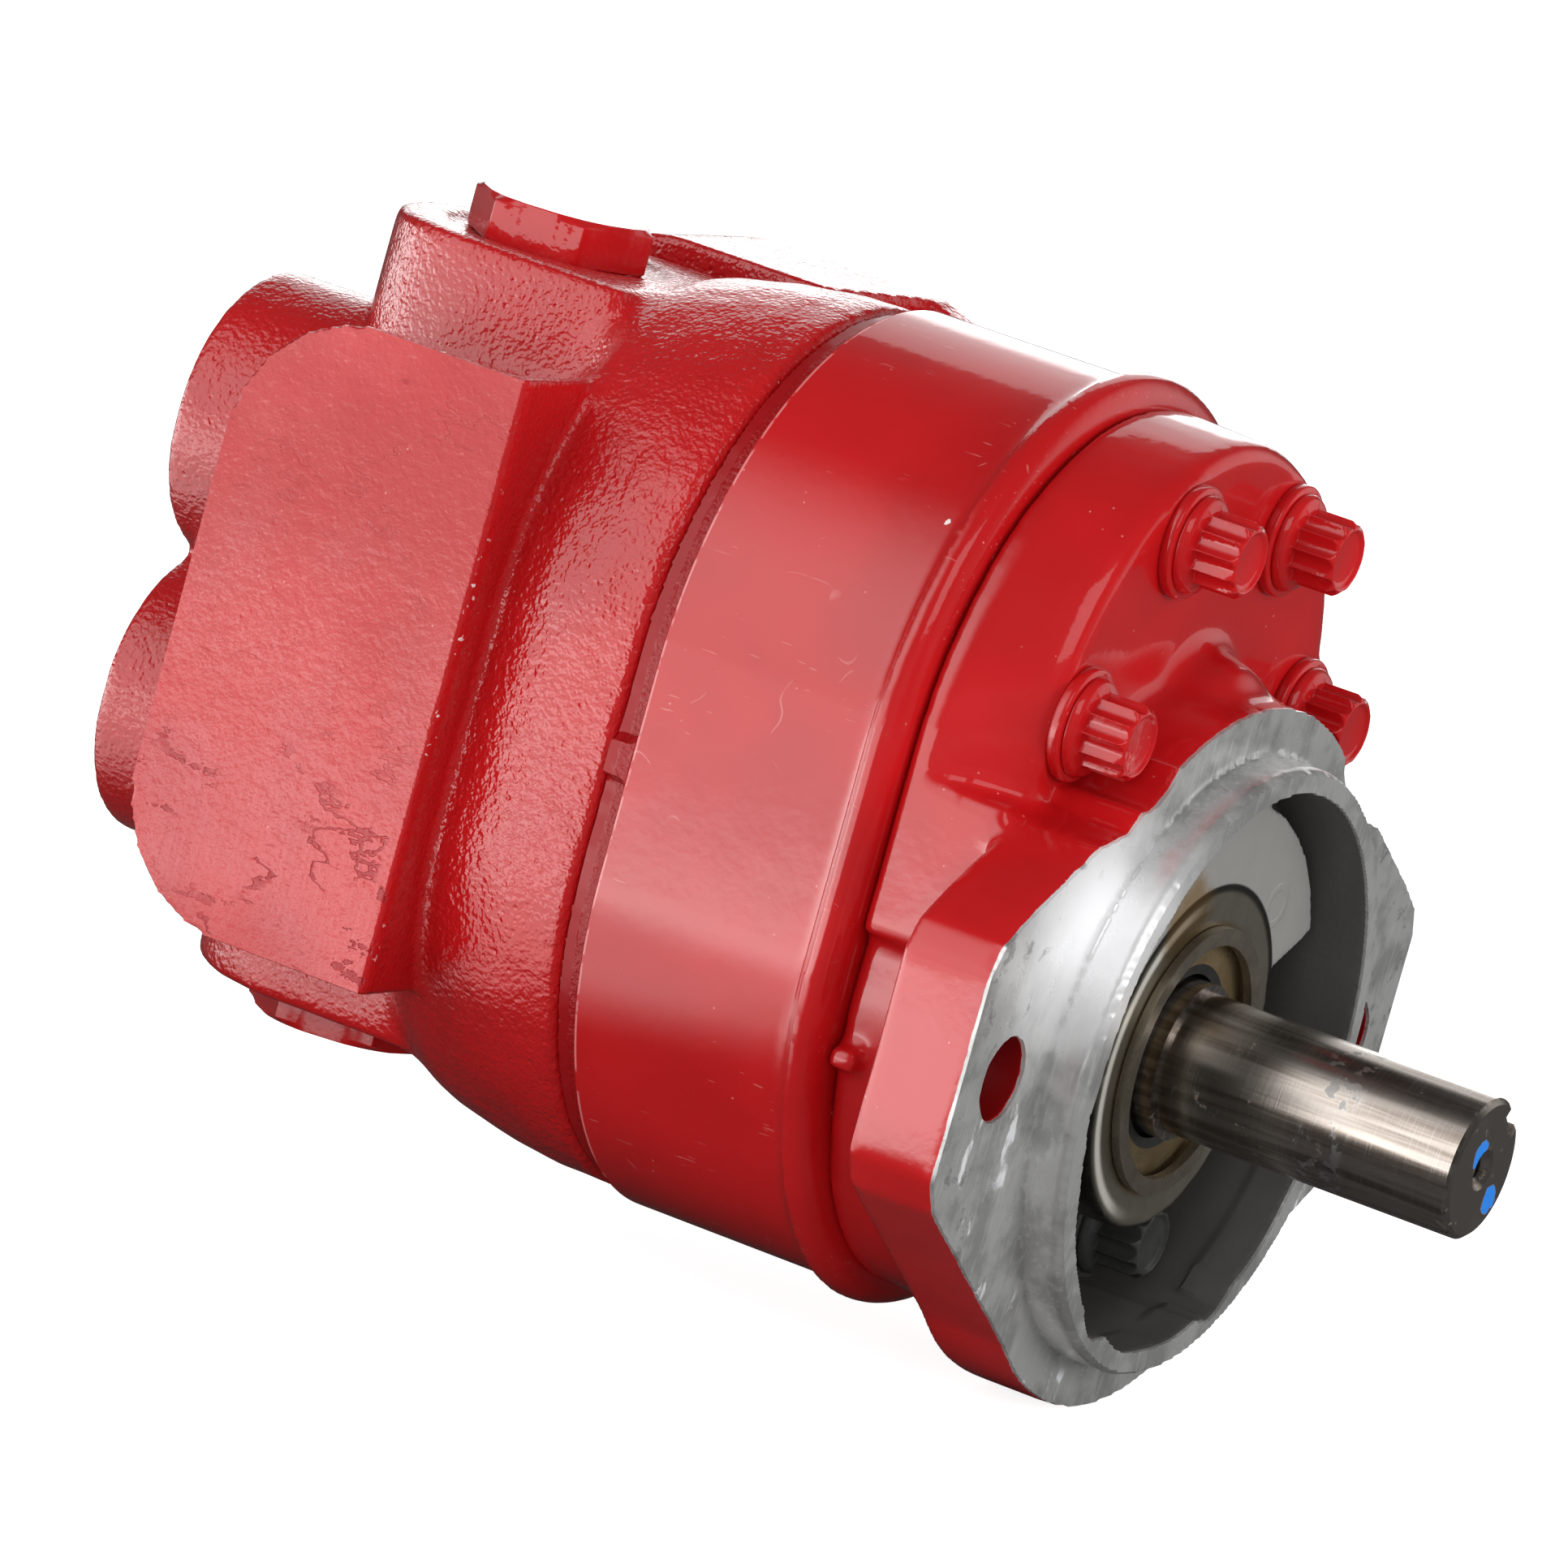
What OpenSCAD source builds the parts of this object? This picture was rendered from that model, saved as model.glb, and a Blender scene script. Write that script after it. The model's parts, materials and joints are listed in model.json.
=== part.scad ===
// External gear hydraulic motor with a two-bolt flange.
// The origin is the centre of the flange's mounting face, on the shaft axis.
// The shaft points along -Y, the rear ports along +Y, and the idler gear sits above the drive gear.

/* [Gears] */
// Module of the teeth
gear_module = 3.25; // [3.2:0.05:3.3]
// Backlash between the meshing flanks
gear_backlash = 0.5; // [0.3:0.1:0.8]
// Gap between the tooth tips and the gear chamber
tip_gap = 0.2; // [0.1:0.05:0.4]

/* [Mounting flange] */
// Diameter of the pilot ring
pilot_d = 82.55; // [80:0.05:85]
// Height of the pilot ring in front of the mounting face
pilot_h = 6.35; // [5:0.05:8]
// Distance between the two mounting holes
mount_spacing = 106.4; // [104:0.1:108]
// Diameter of the mounting holes
mount_hole_d = 11.2; // [10.5:0.1:12]
// Thickness of the flange plate
plate_t = 13; // [11:0.5:14]

/* [Shaft] */
// Diameter of the output end of the drive shaft
shaft_d = 19.05; // [17:0.05:20]
// Distance from the mounting face to the end of the shaft
shaft_reach = 44.4; // [36:0.1:50]
// Width of the keyway in the output end
keyway_w = 4.76; // [4:0.01:5]
// Depth of the keyway in the output end
keyway_depth = 2.4; // [2:0.1:3]
// Length of the keyway from the end of the shaft
keyway_l = 21; // [15:1:28]
// Diameter of the bearing journals
journal_d = 22; // [21:0.1:23]
// Gap between a journal and its bush, on the radius
journal_gap = 0.03; // [0.02:0.01:0.08]

/* [Housing] */
// Half-width of the gear housing
drum_r = 48; // [46:0.5:50]
// Front face of the gear housing
drum_front = 28; // [27:0.5:29]
// Rear face of the gear housing
drum_rear = 68; // [67:0.5:69.5]
// Rear face of the side pads
pad_rear = 131.5; // [128:0.5:135]
// Distance from the middle plane to each side pad
pad_x = 52; // [50:0.5:55]

/* [Ports and valves] */
// Rear face of the two port bosses
port_face = 157; // [152:0.5:160]
// Diameter of the port bosses
port_boss_d = 40; // [40:0.5:42]
// Minor diameter of the port threads
port_d = 20.6; // [18:0.1:22]
// Depth of the port threads
port_depth = 19; // [16:0.5:22]
// Distance from the mounting face to the axis of the two valves
valve_y = 118.6; // [116:0.1:120]
// Width across the flats of the top valve plug
top_plug_flats = 22.2; // [20:0.1:24]
// Width across the flats of the bottom valve plug
bottom_plug_flats = 23.8; // [20:0.1:24]

/* [Screws] */
// Diameter of the body screws
screw_d = 9.4; // [9:0.1:9.5]
// Distance from the mounting face to the seat of the body screws
screw_seat = 12.5; // [12:0.5:14]

/* [Hidden] */
$fn = 72;
eps = 0.01;

// Gear geometry
gear_teeth = 12;
centre_distance = gear_teeth * gear_module;
mid_z = centre_distance / 2;
pitch_r = centre_distance / 2;
tip_r = pitch_r + gear_module;
root_r = pitch_r - 1.25 * gear_module;
base_r = pitch_r * cos(20);
chamber_r = tip_r + tip_gap;
gear_bore_r = 11.6;

// Stack along the shaft
wear_plate_t = 3;
side_gap = 0.05;
gear_front = drum_front + wear_plate_t + side_gap;
gear_rear = drum_rear - wear_plate_t - side_gap;
bush_front = 14.5;
bush_rear = drum_rear + 18;
bush_r = 13.5;
bush_margin = 0.5;

// Outline of the housings: two arcs, one above the other
arc_low_z = mid_z - 14;
arc_high_z = mid_z + 14;

// Trimmed step behind the gear housing's round surface, and the two tabs on it
step_w = 3.8;
step_depth = 1.8;
tab_z = 18.2;
tab_h = 5;

// Body screws, in mirrored pairs about the middle plane
lobe_screw_x = [15.2, 33.2];
lobe_screw_z = [mid_z + 46.9, mid_z + 22.9];
cavity_screw_x = [15.2, 30.4];
cavity_screw_z = [mid_z - 46.9, mid_z - 22.9];
screw_hole_r = 5.15;
screw_end = drum_rear + 24;
washer_t = 1.6;
washer_r = 7.6;
head_flange_t = 1.5;
head_flange_r = 6.7;
head_top = 3;
head_r = 5.5;

// Seal housing in the middle of the flange
cavity_r = 38;
boss_face = -3.9;
boss_r = 23.4;
seal_bore_r = 17.2;
seal_bore_end = 8.5;
collar_r = 10.6;
collar_front = -1.5;
web_face = -1.5;
web_r = 34.6;
trough_floor = 6;

// Seals in the joint faces
body_seal_in = 23.6;
body_seal_out = 25.2;
body_seal_t = 1.3;
plate_seal_in = 18.4;
plate_seal_out = 20.4;
plate_seal_t = 1.6;

// Rear casting
bell_rear = 97;
pad_front = 90.5;
pad_top = 63.5;
pad_bottom = -19.5;
pad_corner_r = 19;
boss_x = 21.5;
boss_front = 96.5;
top_face = 74;
bottom_face = -31;
far_top = 77;
far_inner_x = 23.5;
gallery_x = 21;
gallery_r = 6;
side_pocket_x = 14.5;
side_pocket_r = 8;
inlet_x = 16;
inlet_r = 4.5;

// Valves: heights are measured outwards from each valve's seat face
plug_thread_r = 9;
plug_bore_l = 10;
plug_seal_r = plug_thread_r + 1.3;
plug_seal_t = 1.9;
spotface_r = 15.5;
spotface_depth = 0.8;
plug_seal_floor = spotface_depth + plug_seal_t + 0.1;
top_head_h = 6.2;
bottom_head_h = 5.2;
valve_bore_r = 6.5;
seat_t = 4;
seat_hole_r = 2.6;
poppet_r = 6.4;
poppet_l = 9;
spring_r = 4.6;
spring_wire_r = 0.7;
spring_coils = 4;
spring_room = 0.3;
passage_r = 7;
top_seat_z = centre_distance + passage_r + seat_t + 1;
bottom_seat_z = -passage_r - seat_t - 1;

red = [0.72, 0.05, 0.07];

// A flat shape in X and Z, drawn as a plate from y0 to y1
module slab(y0, y1) {
    translate([0, y1, 0]) rotate([90, 0, 0]) linear_extrude(y1 - y0) children();
}

// A round bar along Y
module bar(y0, y1, r, x = 0, z = 0) {
    translate([x, y1, z]) rotate([90, 0, 0]) cylinder(h = y1 - y0, r = r);
}

// A tube along Y
module tube(y0, y1, r_out, r_in, x = 0, z = 0) {
    difference() {
        bar(y0, y1, r_out, x, z);
        bar(y0 - 1, y1 + 1, r_in, x, z);
    }
}

// A turned shape about an axis along Y: children are drawn as radius and Y
module turned(x = 0, z = 0) {
    translate([x, 0, z]) rotate([-90, 0, 0]) rotate_extrude($fn = 96) children();
}

// The housing outline: two arcs joined by straight sides
module oval(r, low = arc_low_z, high = arc_high_z) {
    translate([0, low]) circle(r, $fn = 120);
    translate([0, high]) circle(r, $fn = 120);
    translate([-r, low]) square([2 * r, high - low]);
}

// Two overlapping circles on the gear axes
module gear_pair_outline(r) {
    circle(r, $fn = 96);
    translate([0, centre_distance]) circle(r, $fn = 96);
}

// Points along an arc
function arc(cx, cy, r, a0, a1, n = 10) = [
    for (i = [0 : n]) [cx + r * cos(a0 + (a1 - a0) * i / n), cy + r * sin(a0 + (a1 - a0) * i / n)]
];

// A pie slice from angle a0 to a1
module sector(r, a0, a1) {
    polygon(concat([[0, 0]], arc(0, 0, r, a0, a1, 24)));
}

// Repeats a shape at each pair of body screws
module at_screws(xs, zs) {
    for (i = [0 : len(xs) - 1])
        for (side = [-1, 1])
            translate([side * xs[i], 0, zs[i]]) children();
}

module at_all_screws() {
    at_screws(lobe_screw_x, lobe_screw_z) children();
    at_screws(cavity_screw_x, cavity_screw_z) children();
}

// ---- Front housing ----

// Outline of the mounting plate: a disc with two ears
module plate_outline() {
    circle(47.6, $fn = 120);
    for (side = [-1, 1])
        scale([side, 1])
            polygon([[0, -42.5], [21, -42.5], [62, -17.5], [65, -13], [65, 14], [63, 18],
                [57, 22], [43, 30], [28, 33.5], [0, 33.5]]);
}

// Outline of the housing behind the plate, wider above the step
module body_outline() {
    translate([0, 3]) circle(43.5, $fn = 120);
    translate([-43.5, 3]) square([87, 8]);
    translate([-46, 10]) square([92, 21.5]);
}

// The upper lobe, which tapers forward to the face where four screws sit
module upper_lobe() {
    hull() {
        bar(screw_seat + 1.5, screw_seat + 2, 40.6, 0, 38.4, $fn = 64);
        bar(screw_seat, screw_seat + 0.5, 39.4, 0, 38.4, $fn = 64);
        bar(drum_front - 3, drum_front, 46, 0, arc_high_z, $fn = 64);
    }
}

module pilot_ring() {
    turned() polygon([[cavity_r, -pilot_h], [pilot_d / 2 - 0.8, -pilot_h],
        [pilot_d / 2, -pilot_h + 0.8], [pilot_d / 2, eps], [cavity_r, eps]]);
}

module seal_boss() {
    turned() polygon(concat([[0, boss_face]], arc(boss_r - 4, boss_face + 4, 4, -90, 0, 8),
        [[boss_r, screw_seat + eps], [0, screw_seat + eps]]));
}

module idler_boss() {
    turned(0, centre_distance) polygon(concat([[0, 4.5]], arc(9.5, 7.5, 3, -90, 0, 8),
        [[13.2, screw_seat + eps], [0, screw_seat + eps]]));
}

module cavity_web() {
    slab(web_face, screw_seat) sector(web_r, 28, 165);
    slab(web_face, screw_seat) sector(cavity_r + 1, 80, 165);
    slab(trough_floor, screw_seat) sector(cavity_r + 1, 28, 81);
}

module front_cavity() {
    difference() {
        bar(-pilot_h - 1, screw_seat, cavity_r);
        seal_boss();
        cavity_web();
    }
}

module side_ribs() {
    for (side = [-1, 1])
        translate([side * 43.6 - 1.6, drum_front - 4, -8]) cube([3.2, 4, 3]);
}

module front_solid() {
    slab(0, plate_t) plate_outline();
    slab(screw_seat, drum_front) body_outline();
    upper_lobe();
    pilot_ring();
    idler_boss();
    side_ribs();
}

module front_housing() {
    color(red) difference() {
        front_solid();
        front_cavity();
        bar(boss_face - 1, seal_bore_end, seal_bore_r);
        turned() polygon([[0, boss_face + 2.4], [seal_bore_r + 1.2, boss_face + 2.4],
            [seal_bore_r + 1.2, boss_face + 3.8], [0, boss_face + 3.8]]);
        bar(0, drum_front + 1, collar_r + 0.6);
        bar(bush_front - bush_margin, drum_front + 1, bush_r);
        bar(bush_front - bush_margin, drum_front + 1, bush_r, 0, centre_distance);
        for (side = [-1, 1])
            bar(-1, plate_t + 1, mount_hole_d / 2, side * mount_spacing / 2);
        at_all_screws() bar(-8, drum_front + 1, screw_hole_r);
        at_all_screws() bar(-8, screw_seat, washer_r + 0.4);
        seal_groove(drum_front, -1);
        dowel_holes();
    }
}

// ---- Joint faces ----

// Grooves for the plate seal and the body seal; dir is the way they sink from the face
module seal_groove(face, dir) {
    plate_y = dir < 0 ? face - plate_seal_t : face;
    body_y = dir < 0 ? face - body_seal_t : face;
    slab(plate_y, plate_y + plate_seal_t) plate_seal_outline();
    slab(body_y, body_y + body_seal_t) body_seal_outline();
}

module plate_seal_outline() {
    difference() {
        gear_pair_outline(plate_seal_out);
        gear_pair_outline(plate_seal_in);
    }
}

module body_seal_outline() {
    difference() {
        oval(body_seal_out, 0, centre_distance);
        oval(body_seal_in, 0, centre_distance);
    }
}

module front_plate_seal() {
    color("black") slab(drum_front - plate_seal_t, drum_front) plate_seal_outline();
}

module rear_plate_seal() {
    color("black") slab(drum_rear, drum_rear + plate_seal_t) plate_seal_outline();
}

module front_body_seal() {
    color("black") slab(drum_front - body_seal_t, drum_front) body_seal_outline();
}

module rear_body_seal() {
    color("black") slab(drum_rear, drum_rear + body_seal_t) body_seal_outline();
}

module dowels(r, half_length) {
    for (side = [-1, 1])
        for (face = [drum_front, drum_rear])
            bar(face - half_length, face + half_length, r, side * 36, mid_z);
}

module dowel_holes() {
    dowels(3, 6.5);
}

module dowel_pins() {
    color("silver") dowels(3, 6);
}

// ---- Gear housing ----

// A solid with the housing outline whose section is drawn as half-width and Y
module oval_turned() {
    for (z = [arc_low_z, arc_high_z]) turned(0, z) children();
    translate([0, 0, arc_low_z]) linear_extrude(arc_high_z - arc_low_z) {
        children();
        mirror([1, 0]) children();
    }
}

// Section of the gear housing: a rounded bead in front and a narrow step behind
module drum_section() {
    bead_r = drum_r + 1.6;
    polygon(concat([[0, drum_front]],
        arc(bead_r - 3.4, drum_front + 3.4, 3.4, -90, 0, 8),
        arc(drum_r + 3.2, drum_front + 6.6, 3.2, 150, 180, 4),
        arc(drum_r - 1, drum_rear - step_w - 1, 1, 0, 90, 4),
        [[drum_r - step_depth, drum_rear - step_w], [drum_r - step_depth, drum_rear], [0, drum_rear]]));
}

module drum_tab() {
    for (side = [-1, 1])
        translate([side * (drum_r - 1.4) - 1.2, drum_rear - step_w, tab_z]) cube([2.4, step_w, tab_h]);
}

module gear_housing() {
    color(red) difference() {
        union() {
            oval_turned() drum_section();
            drum_tab();
        }
        slab(drum_front - 1, drum_rear + 1) {
            gear_pair_outline(chamber_r);
            for (side = [-1, 1])
                translate([side * side_pocket_x, mid_z]) circle(side_pocket_r);
        }
        at_all_screws() bar(drum_front - 1, drum_rear + 1, screw_hole_r);
        dowel_holes();
    }
}

// ---- Rear casting ----

// Section of the bell that carries the drum's outline back to the port block
module bell_section() {
    polygon(concat([[0, drum_rear], [drum_r - step_depth, drum_rear], [drum_r - 1, drum_rear + 0.9],
        [drum_r - 1.2, drum_rear + 8], [drum_r - 2.2, drum_rear + 16]],
        arc(drum_r - 22, bell_rear - 11, 19, 8, 80, 9), [[0, bell_rear + 7.7]]));
}

// Outline of a side pad, seen along X: square in front, rounded behind
module pad_outline(top) {
    polygon(concat([[pad_front, pad_bottom]],
        arc(pad_rear - pad_corner_r, pad_bottom + pad_corner_r, pad_corner_r, -90, 0, 12),
        arc(pad_rear - pad_corner_r, top - pad_corner_r, pad_corner_r, 0, 90, 12),
        [[pad_front, top]]));
}

// A shape drawn in Y and Z, thick from x0 to x1
module cheek(x0, x1) {
    translate([x0, 0, 0]) rotate([90, 0, 90]) linear_extrude(x1 - x0) children();
}

module port_block() {
    cheek(-pad_x, pad_x) pad_outline(pad_top);
    cheek(far_inner_x, pad_x) pad_outline(far_top);
}

// The wedge that carries the far cheek forward over the bell
module far_wedge() {
    translate([0, 0, mid_z + 30]) linear_extrude(far_top - mid_z - 30)
        polygon([[far_inner_x, pad_front + 2], [far_inner_x, pad_front - 0.5],
            [pad_x - 2, pad_front - 6], [pad_x, pad_front - 4], [pad_x, pad_front + 2]]);
}

// A lug that slopes forward from the far cheek's front wall
module far_lug() {
    cheek(pad_x - 6, pad_x)
        polygon([[pad_front + 2, far_top], [pad_front - 5, far_top], [pad_front - 14, far_top - 3],
            [pad_front - 14, far_top - 12], [pad_front + 2, far_top - 30]]);
}

// Outline of a valve boss, seen along Z: rounded behind, square in front
module boss_outline() {
    translate([0, valve_y]) circle(boss_x, $fn = 96);
    translate([-boss_x, boss_front]) square([2 * boss_x, valve_y - boss_front]);
}

module valve_bosses() {
    translate([0, 0, mid_z]) linear_extrude(top_face - mid_z) boss_outline();
    translate([0, 0, bottom_face]) linear_extrude(mid_z - bottom_face) boss_outline();
}

module port_bosses() {
    for (z = [0, centre_distance])
        bar(pad_rear - 8, port_face, port_boss_d / 2, 0, z);
    slab(pad_rear - 8, port_face - 9) translate([-9, mid_z - 12]) square([18, 24]);
}

// A drilled hole from one point to another
module drilling(from, to, r) {
    step = to - from;
    reach = norm(step);
    translate(from)
        rotate([0, acos(step[2] / reach), atan2(step[1], step[0])])
            cylinder(h = reach, r = r, $fn = 32);
}

// One rear port: spotface, O-ring chamfer, thread and drilled passage
module port_bore(z) {
    bar(port_face - 0.8, port_face + 1, 17, 0, z);
    turned(0, z) polygon([[0, port_face - 3.4], [port_d / 2, port_face - 3.4],
        [port_d / 2 + 1.6, port_face - 0.5], [0, port_face - 0.5]]);
    bar(port_face - port_depth - 1, port_face, port_d / 2, 0, z);
    bar(valve_y - 9, port_face - port_depth, passage_r, 0, z);
}

// One valve bore: spotface, thread, smooth bore and seat counterbore
module valve_bore(seat_z, face_z) {
    dir = sign(face_z - seat_z);
    translate([0, valve_y, face_z - dir * spotface_depth]) rod_z(dir, 5, spotface_r);
    translate([0, valve_y, face_z - dir * plug_seal_floor]) rod_z(dir, 5, plug_seal_r + 0.1);
    translate([0, valve_y, face_z - dir * plug_bore_l]) rod_z(dir, plug_bore_l, plug_thread_r);
    translate([0, valve_y, seat_z - dir * seat_t]) rod_z(dir, seat_t + abs(face_z - seat_z) - 6, valve_bore_r);
    translate([0, valve_y, seat_z]) rod_z(-dir, seat_t + 4, seat_hole_r);
}

// A cylinder that starts at the origin and runs up or down along Z
module rod_z(dir, h, r) {
    translate([0, 0, dir > 0 ? 0 : -h]) cylinder(h = h, r = r);
}

// Slot that leads from the gear chamber to a passage
module inlet_outline() {
    translate([inlet_x, mid_z]) circle(inlet_r);
    translate([gallery_x, mid_z]) circle(inlet_r);
    translate([inlet_x, mid_z - inlet_r]) square([gallery_x - inlet_x, 2 * inlet_r]);
}

// Passages from the gear mesh to the ports, and from each valve to the other side
module passages() {
    for (side = [-1, 1]) {
        bar(drum_rear + 3, valve_y + 6, gallery_r, side * gallery_x, mid_z);
        scale([side, 1, 1]) slab(drum_rear - 1, drum_rear + 8) inlet_outline();
    }
    drilling([-gallery_x, valve_y, mid_z], [0, valve_y, centre_distance], 5.5);
    drilling([gallery_x, valve_y, mid_z], [0, valve_y, 0], 5.5);
    drilling([0, valve_y, top_seat_z + 5], [gallery_x + 5, valve_y, mid_z], 2.2);
    drilling([0, valve_y, bottom_seat_z - 5], [-gallery_x - 5, valve_y, mid_z], 2.2);
    bar(drum_rear, bush_rear + 6, 6, 0, 0);
    bar(drum_rear, bush_rear + 6, 6, 0, centre_distance);
}

module rear_casting() {
    color(red) difference() {
        union() {
            oval_turned() bell_section();
            port_block();
            far_wedge();
            far_lug();
            valve_bosses();
            port_bosses();
        }
        for (z = [0, centre_distance]) {
            bar(drum_rear - 1, bush_rear + bush_margin, bush_r, 0, z);
            port_bore(z);
        }
        valve_bore(top_seat_z, top_face);
        valve_bore(bottom_seat_z, bottom_face);
        passages();
        at_all_screws() bar(drum_rear - 1, screw_end + 2, screw_d / 2 + 0.06);
        seal_groove(drum_rear, 1);
        dowel_holes();
    }
}

// ---- Screws and washers ----

// Twelve points round a head: two hexagons turned by half a step
module twelve_points(r) {
    circle(r, $fn = 6);
    rotate(30) circle(r, $fn = 6);
    circle(r * 0.9, $fn = 48);
}

// One flanged screw with a twelve-point head
module body_screw() {
    flange_y = screw_seat - washer_t - head_flange_t;
    bar(screw_seat - washer_t - eps, screw_end, screw_d / 2);
    turned() polygon([[0, flange_y], [head_flange_r - 0.7, flange_y],
        [head_flange_r, flange_y + 0.7], [head_flange_r, flange_y + head_flange_t],
        [0, flange_y + head_flange_t]]);
    slab(head_top + 0.6, flange_y + eps) twelve_points(head_r);
    bar(head_top, head_top + 0.6 + eps, head_r * 0.88);
}

module screw_washer() {
    tube(screw_seat - washer_t, screw_seat, washer_r, screw_d / 2 + 0.25);
}

module lobe_screws() {
    color(red) at_screws(lobe_screw_x, lobe_screw_z) body_screw();
}

module cavity_screws() {
    color("dimgray") at_screws(cavity_screw_x, cavity_screw_z) body_screw();
}

module lobe_washers() {
    color(red) at_screws(lobe_screw_x, lobe_screw_z) screw_washer();
}

module cavity_washers() {
    color("dimgray") at_screws(cavity_screw_x, cavity_screw_z) screw_washer();
}

// ---- Shafts and gears ----

// Point on an involute flank, by roll angle in degrees
function involute(roll) = [
    base_r * (cos(roll) + roll * PI / 180 * sin(roll)),
    base_r * (sin(roll) - roll * PI / 180 * cos(roll))
];

// Roll angle at which the involute reaches a radius
function roll_at(r) = sqrt(max(0, r * r / (base_r * base_r) - 1)) * 180 / PI;

// Polar angle of the involute at a radius
function flank_angle(r) = let (p = involute(roll_at(r))) atan2(p[1], p[0]);

// Half the tooth's angle at a radius, with the backlash taken off
function half_tooth(r) =
    90 / gear_teeth - gear_backlash / 4 / pitch_r * 180 / PI + flank_angle(pitch_r) - flank_angle(r);

// Outline of one tooth, from root to root, centred on an angle
function tooth(a) = let (
    start_r = max(root_r + 0.6, base_r),
    rs = [for (i = [0 : 6]) start_r + (tip_r - start_r) * i / 6],
    root_half = half_tooth(start_r) + 3
) concat(
    [[root_r * cos(a - root_half), root_r * sin(a - root_half)]],
    [for (r = rs) [r * cos(a - half_tooth(r)), r * sin(a - half_tooth(r))]],
    [for (i = [6 : -1 : 0]) [rs[i] * cos(a + half_tooth(rs[i])), rs[i] * sin(a + half_tooth(rs[i]))]],
    [[root_r * cos(a + root_half), root_r * sin(a + root_half)]]
);

module gear_outline(first_angle) {
    polygon([for (i = [0 : gear_teeth - 1]) each tooth(first_angle + i * 360 / gear_teeth)]);
}

module spur_gear(z, first_angle) {
    difference() {
        translate([0, 0, z]) slab(gear_front, gear_rear) gear_outline(first_angle);
        bar(gear_front - 1, gear_rear + 1, gear_bore_r, 0, z);
    }
}

module drive_gear() {
    color("silver") spur_gear(0, 90);
}

module idler_gear() {
    color("silver") spur_gear(centre_distance, 90 + 180 / gear_teeth);
}

// Journals on both sides of the wide middle that carries the gear
module geared_shaft_body(z, front, rear) {
    bar(front, rear, journal_d / 2, 0, z);
    bar(gear_front, gear_rear, gear_bore_r, 0, z);
}

module keyway() {
    rotate([0, -50, 0])
        translate([shaft_d / 2 - keyway_depth, -shaft_reach - 1, -keyway_w / 2])
            cube([keyway_depth + 1, keyway_l + 1, keyway_w]);
}

module drive_shaft() {
    color("silver") difference() {
        union() {
            geared_shaft_body(0, bush_front, bush_rear - 1);
            bar(collar_front, bush_front + eps, collar_r);
            bar(-shaft_reach + 0.7, collar_front + eps, shaft_d / 2);
            turned() polygon([[0, -shaft_reach], [shaft_d / 2 - 0.7, -shaft_reach],
                [shaft_d / 2, -shaft_reach + 0.7], [0, -shaft_reach + 0.7 + eps]]);
        }
        bar(-shaft_reach - 1, -shaft_reach + 6, 1.6);
        turned() polygon([[0, -shaft_reach - 0.5], [3.3, -shaft_reach - 0.5],
            [0, -shaft_reach + 2.8]]);
        keyway();
    }
}

module idler_shaft() {
    color("silver") geared_shaft_body(centre_distance, bush_front + 0.3, bush_rear - 1);
}

module bush(front, rear, z) {
    color("goldenrod") tube(front, rear, bush_r, journal_d / 2 + journal_gap, 0, z);
}

module drive_front_bush() {
    bush(bush_front, drum_front - bush_margin, 0);
}

module drive_rear_bush() {
    bush(drum_rear + bush_margin, bush_rear, 0);
}

module idler_front_bush() {
    bush(bush_front, drum_front - bush_margin, centre_distance);
}

module idler_rear_bush() {
    bush(drum_rear + bush_margin, bush_rear, centre_distance);
}

// A wear plate beside the gears
module wear_plate(front) {
    color("goldenrod") slab(front, front + wear_plate_t) difference() {
        gear_pair_outline(chamber_r - 0.05);
        gear_pair_outline(journal_d / 2 + 0.4);
    }
}

module front_wear_plate() {
    wear_plate(drum_front);
}

module rear_wear_plate() {
    wear_plate(drum_rear - wear_plate_t);
}

// ---- Shaft seal ----

module shaft_seal_case() {
    color("silver") turned() polygon([[seal_bore_r, 1], [seal_bore_r, 8], [seal_bore_r - 1.2, 8],
        [seal_bore_r - 1.2, 2.2], [12.6, 2.2], [12.6, 1]]);
}

// The rubber lip, which clears the collar by a hair
module shaft_seal_lip() {
    color("black") turned() polygon([[seal_bore_r - 1.2, 2.2], [seal_bore_r - 1.2, 4.6],
        [13.6, 4.6], [12.6, 7.4], [collar_r + 0.05, 6.2], [11.6, 3.4], [11.2, 1.2],
        [12.6, 1], [12.6, 2.2]]);
}

module seal_snap_ring() {
    color("dimgray") difference() {
        tube(boss_face + 2.5, boss_face + 3.7, seal_bore_r + 1, 15.9);
        rotate([0, 35, 0]) translate([12, -5, -3]) cube([10, 10, 6]);
    }
}

// ---- Valves ----

// A turned shape about a valve's axis: children are drawn as radius and height above the seat
module valve_turned(seat_z, dir) {
    translate([0, valve_y, seat_z]) mirror([0, 0, dir > 0 ? 0 : 1]) rotate_extrude() children();
}

// A plug with a hexagon head, a threaded body and a socket for the spring
module valve_plug(seat_z, face_z, flats, head_h, turn) {
    dir = sign(face_z - seat_z);
    rise = abs(face_z - seat_z) - spotface_depth;
    body = rise - plug_bore_l + 1.5;
    color(red) difference() {
        translate([0, valve_y, seat_z]) mirror([0, 0, dir > 0 ? 0 : 1]) {
            translate([0, 0, rise]) rotate(turn)
                cylinder(h = head_h, r = flats / 2 / cos(30), $fn = 6);
            translate([0, 0, body]) cylinder(h = rise - body + eps, r = plug_thread_r - 0.06);
        }
        valve_turned(seat_z, dir) square([5.4, body + 4]);
    }
}

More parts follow.
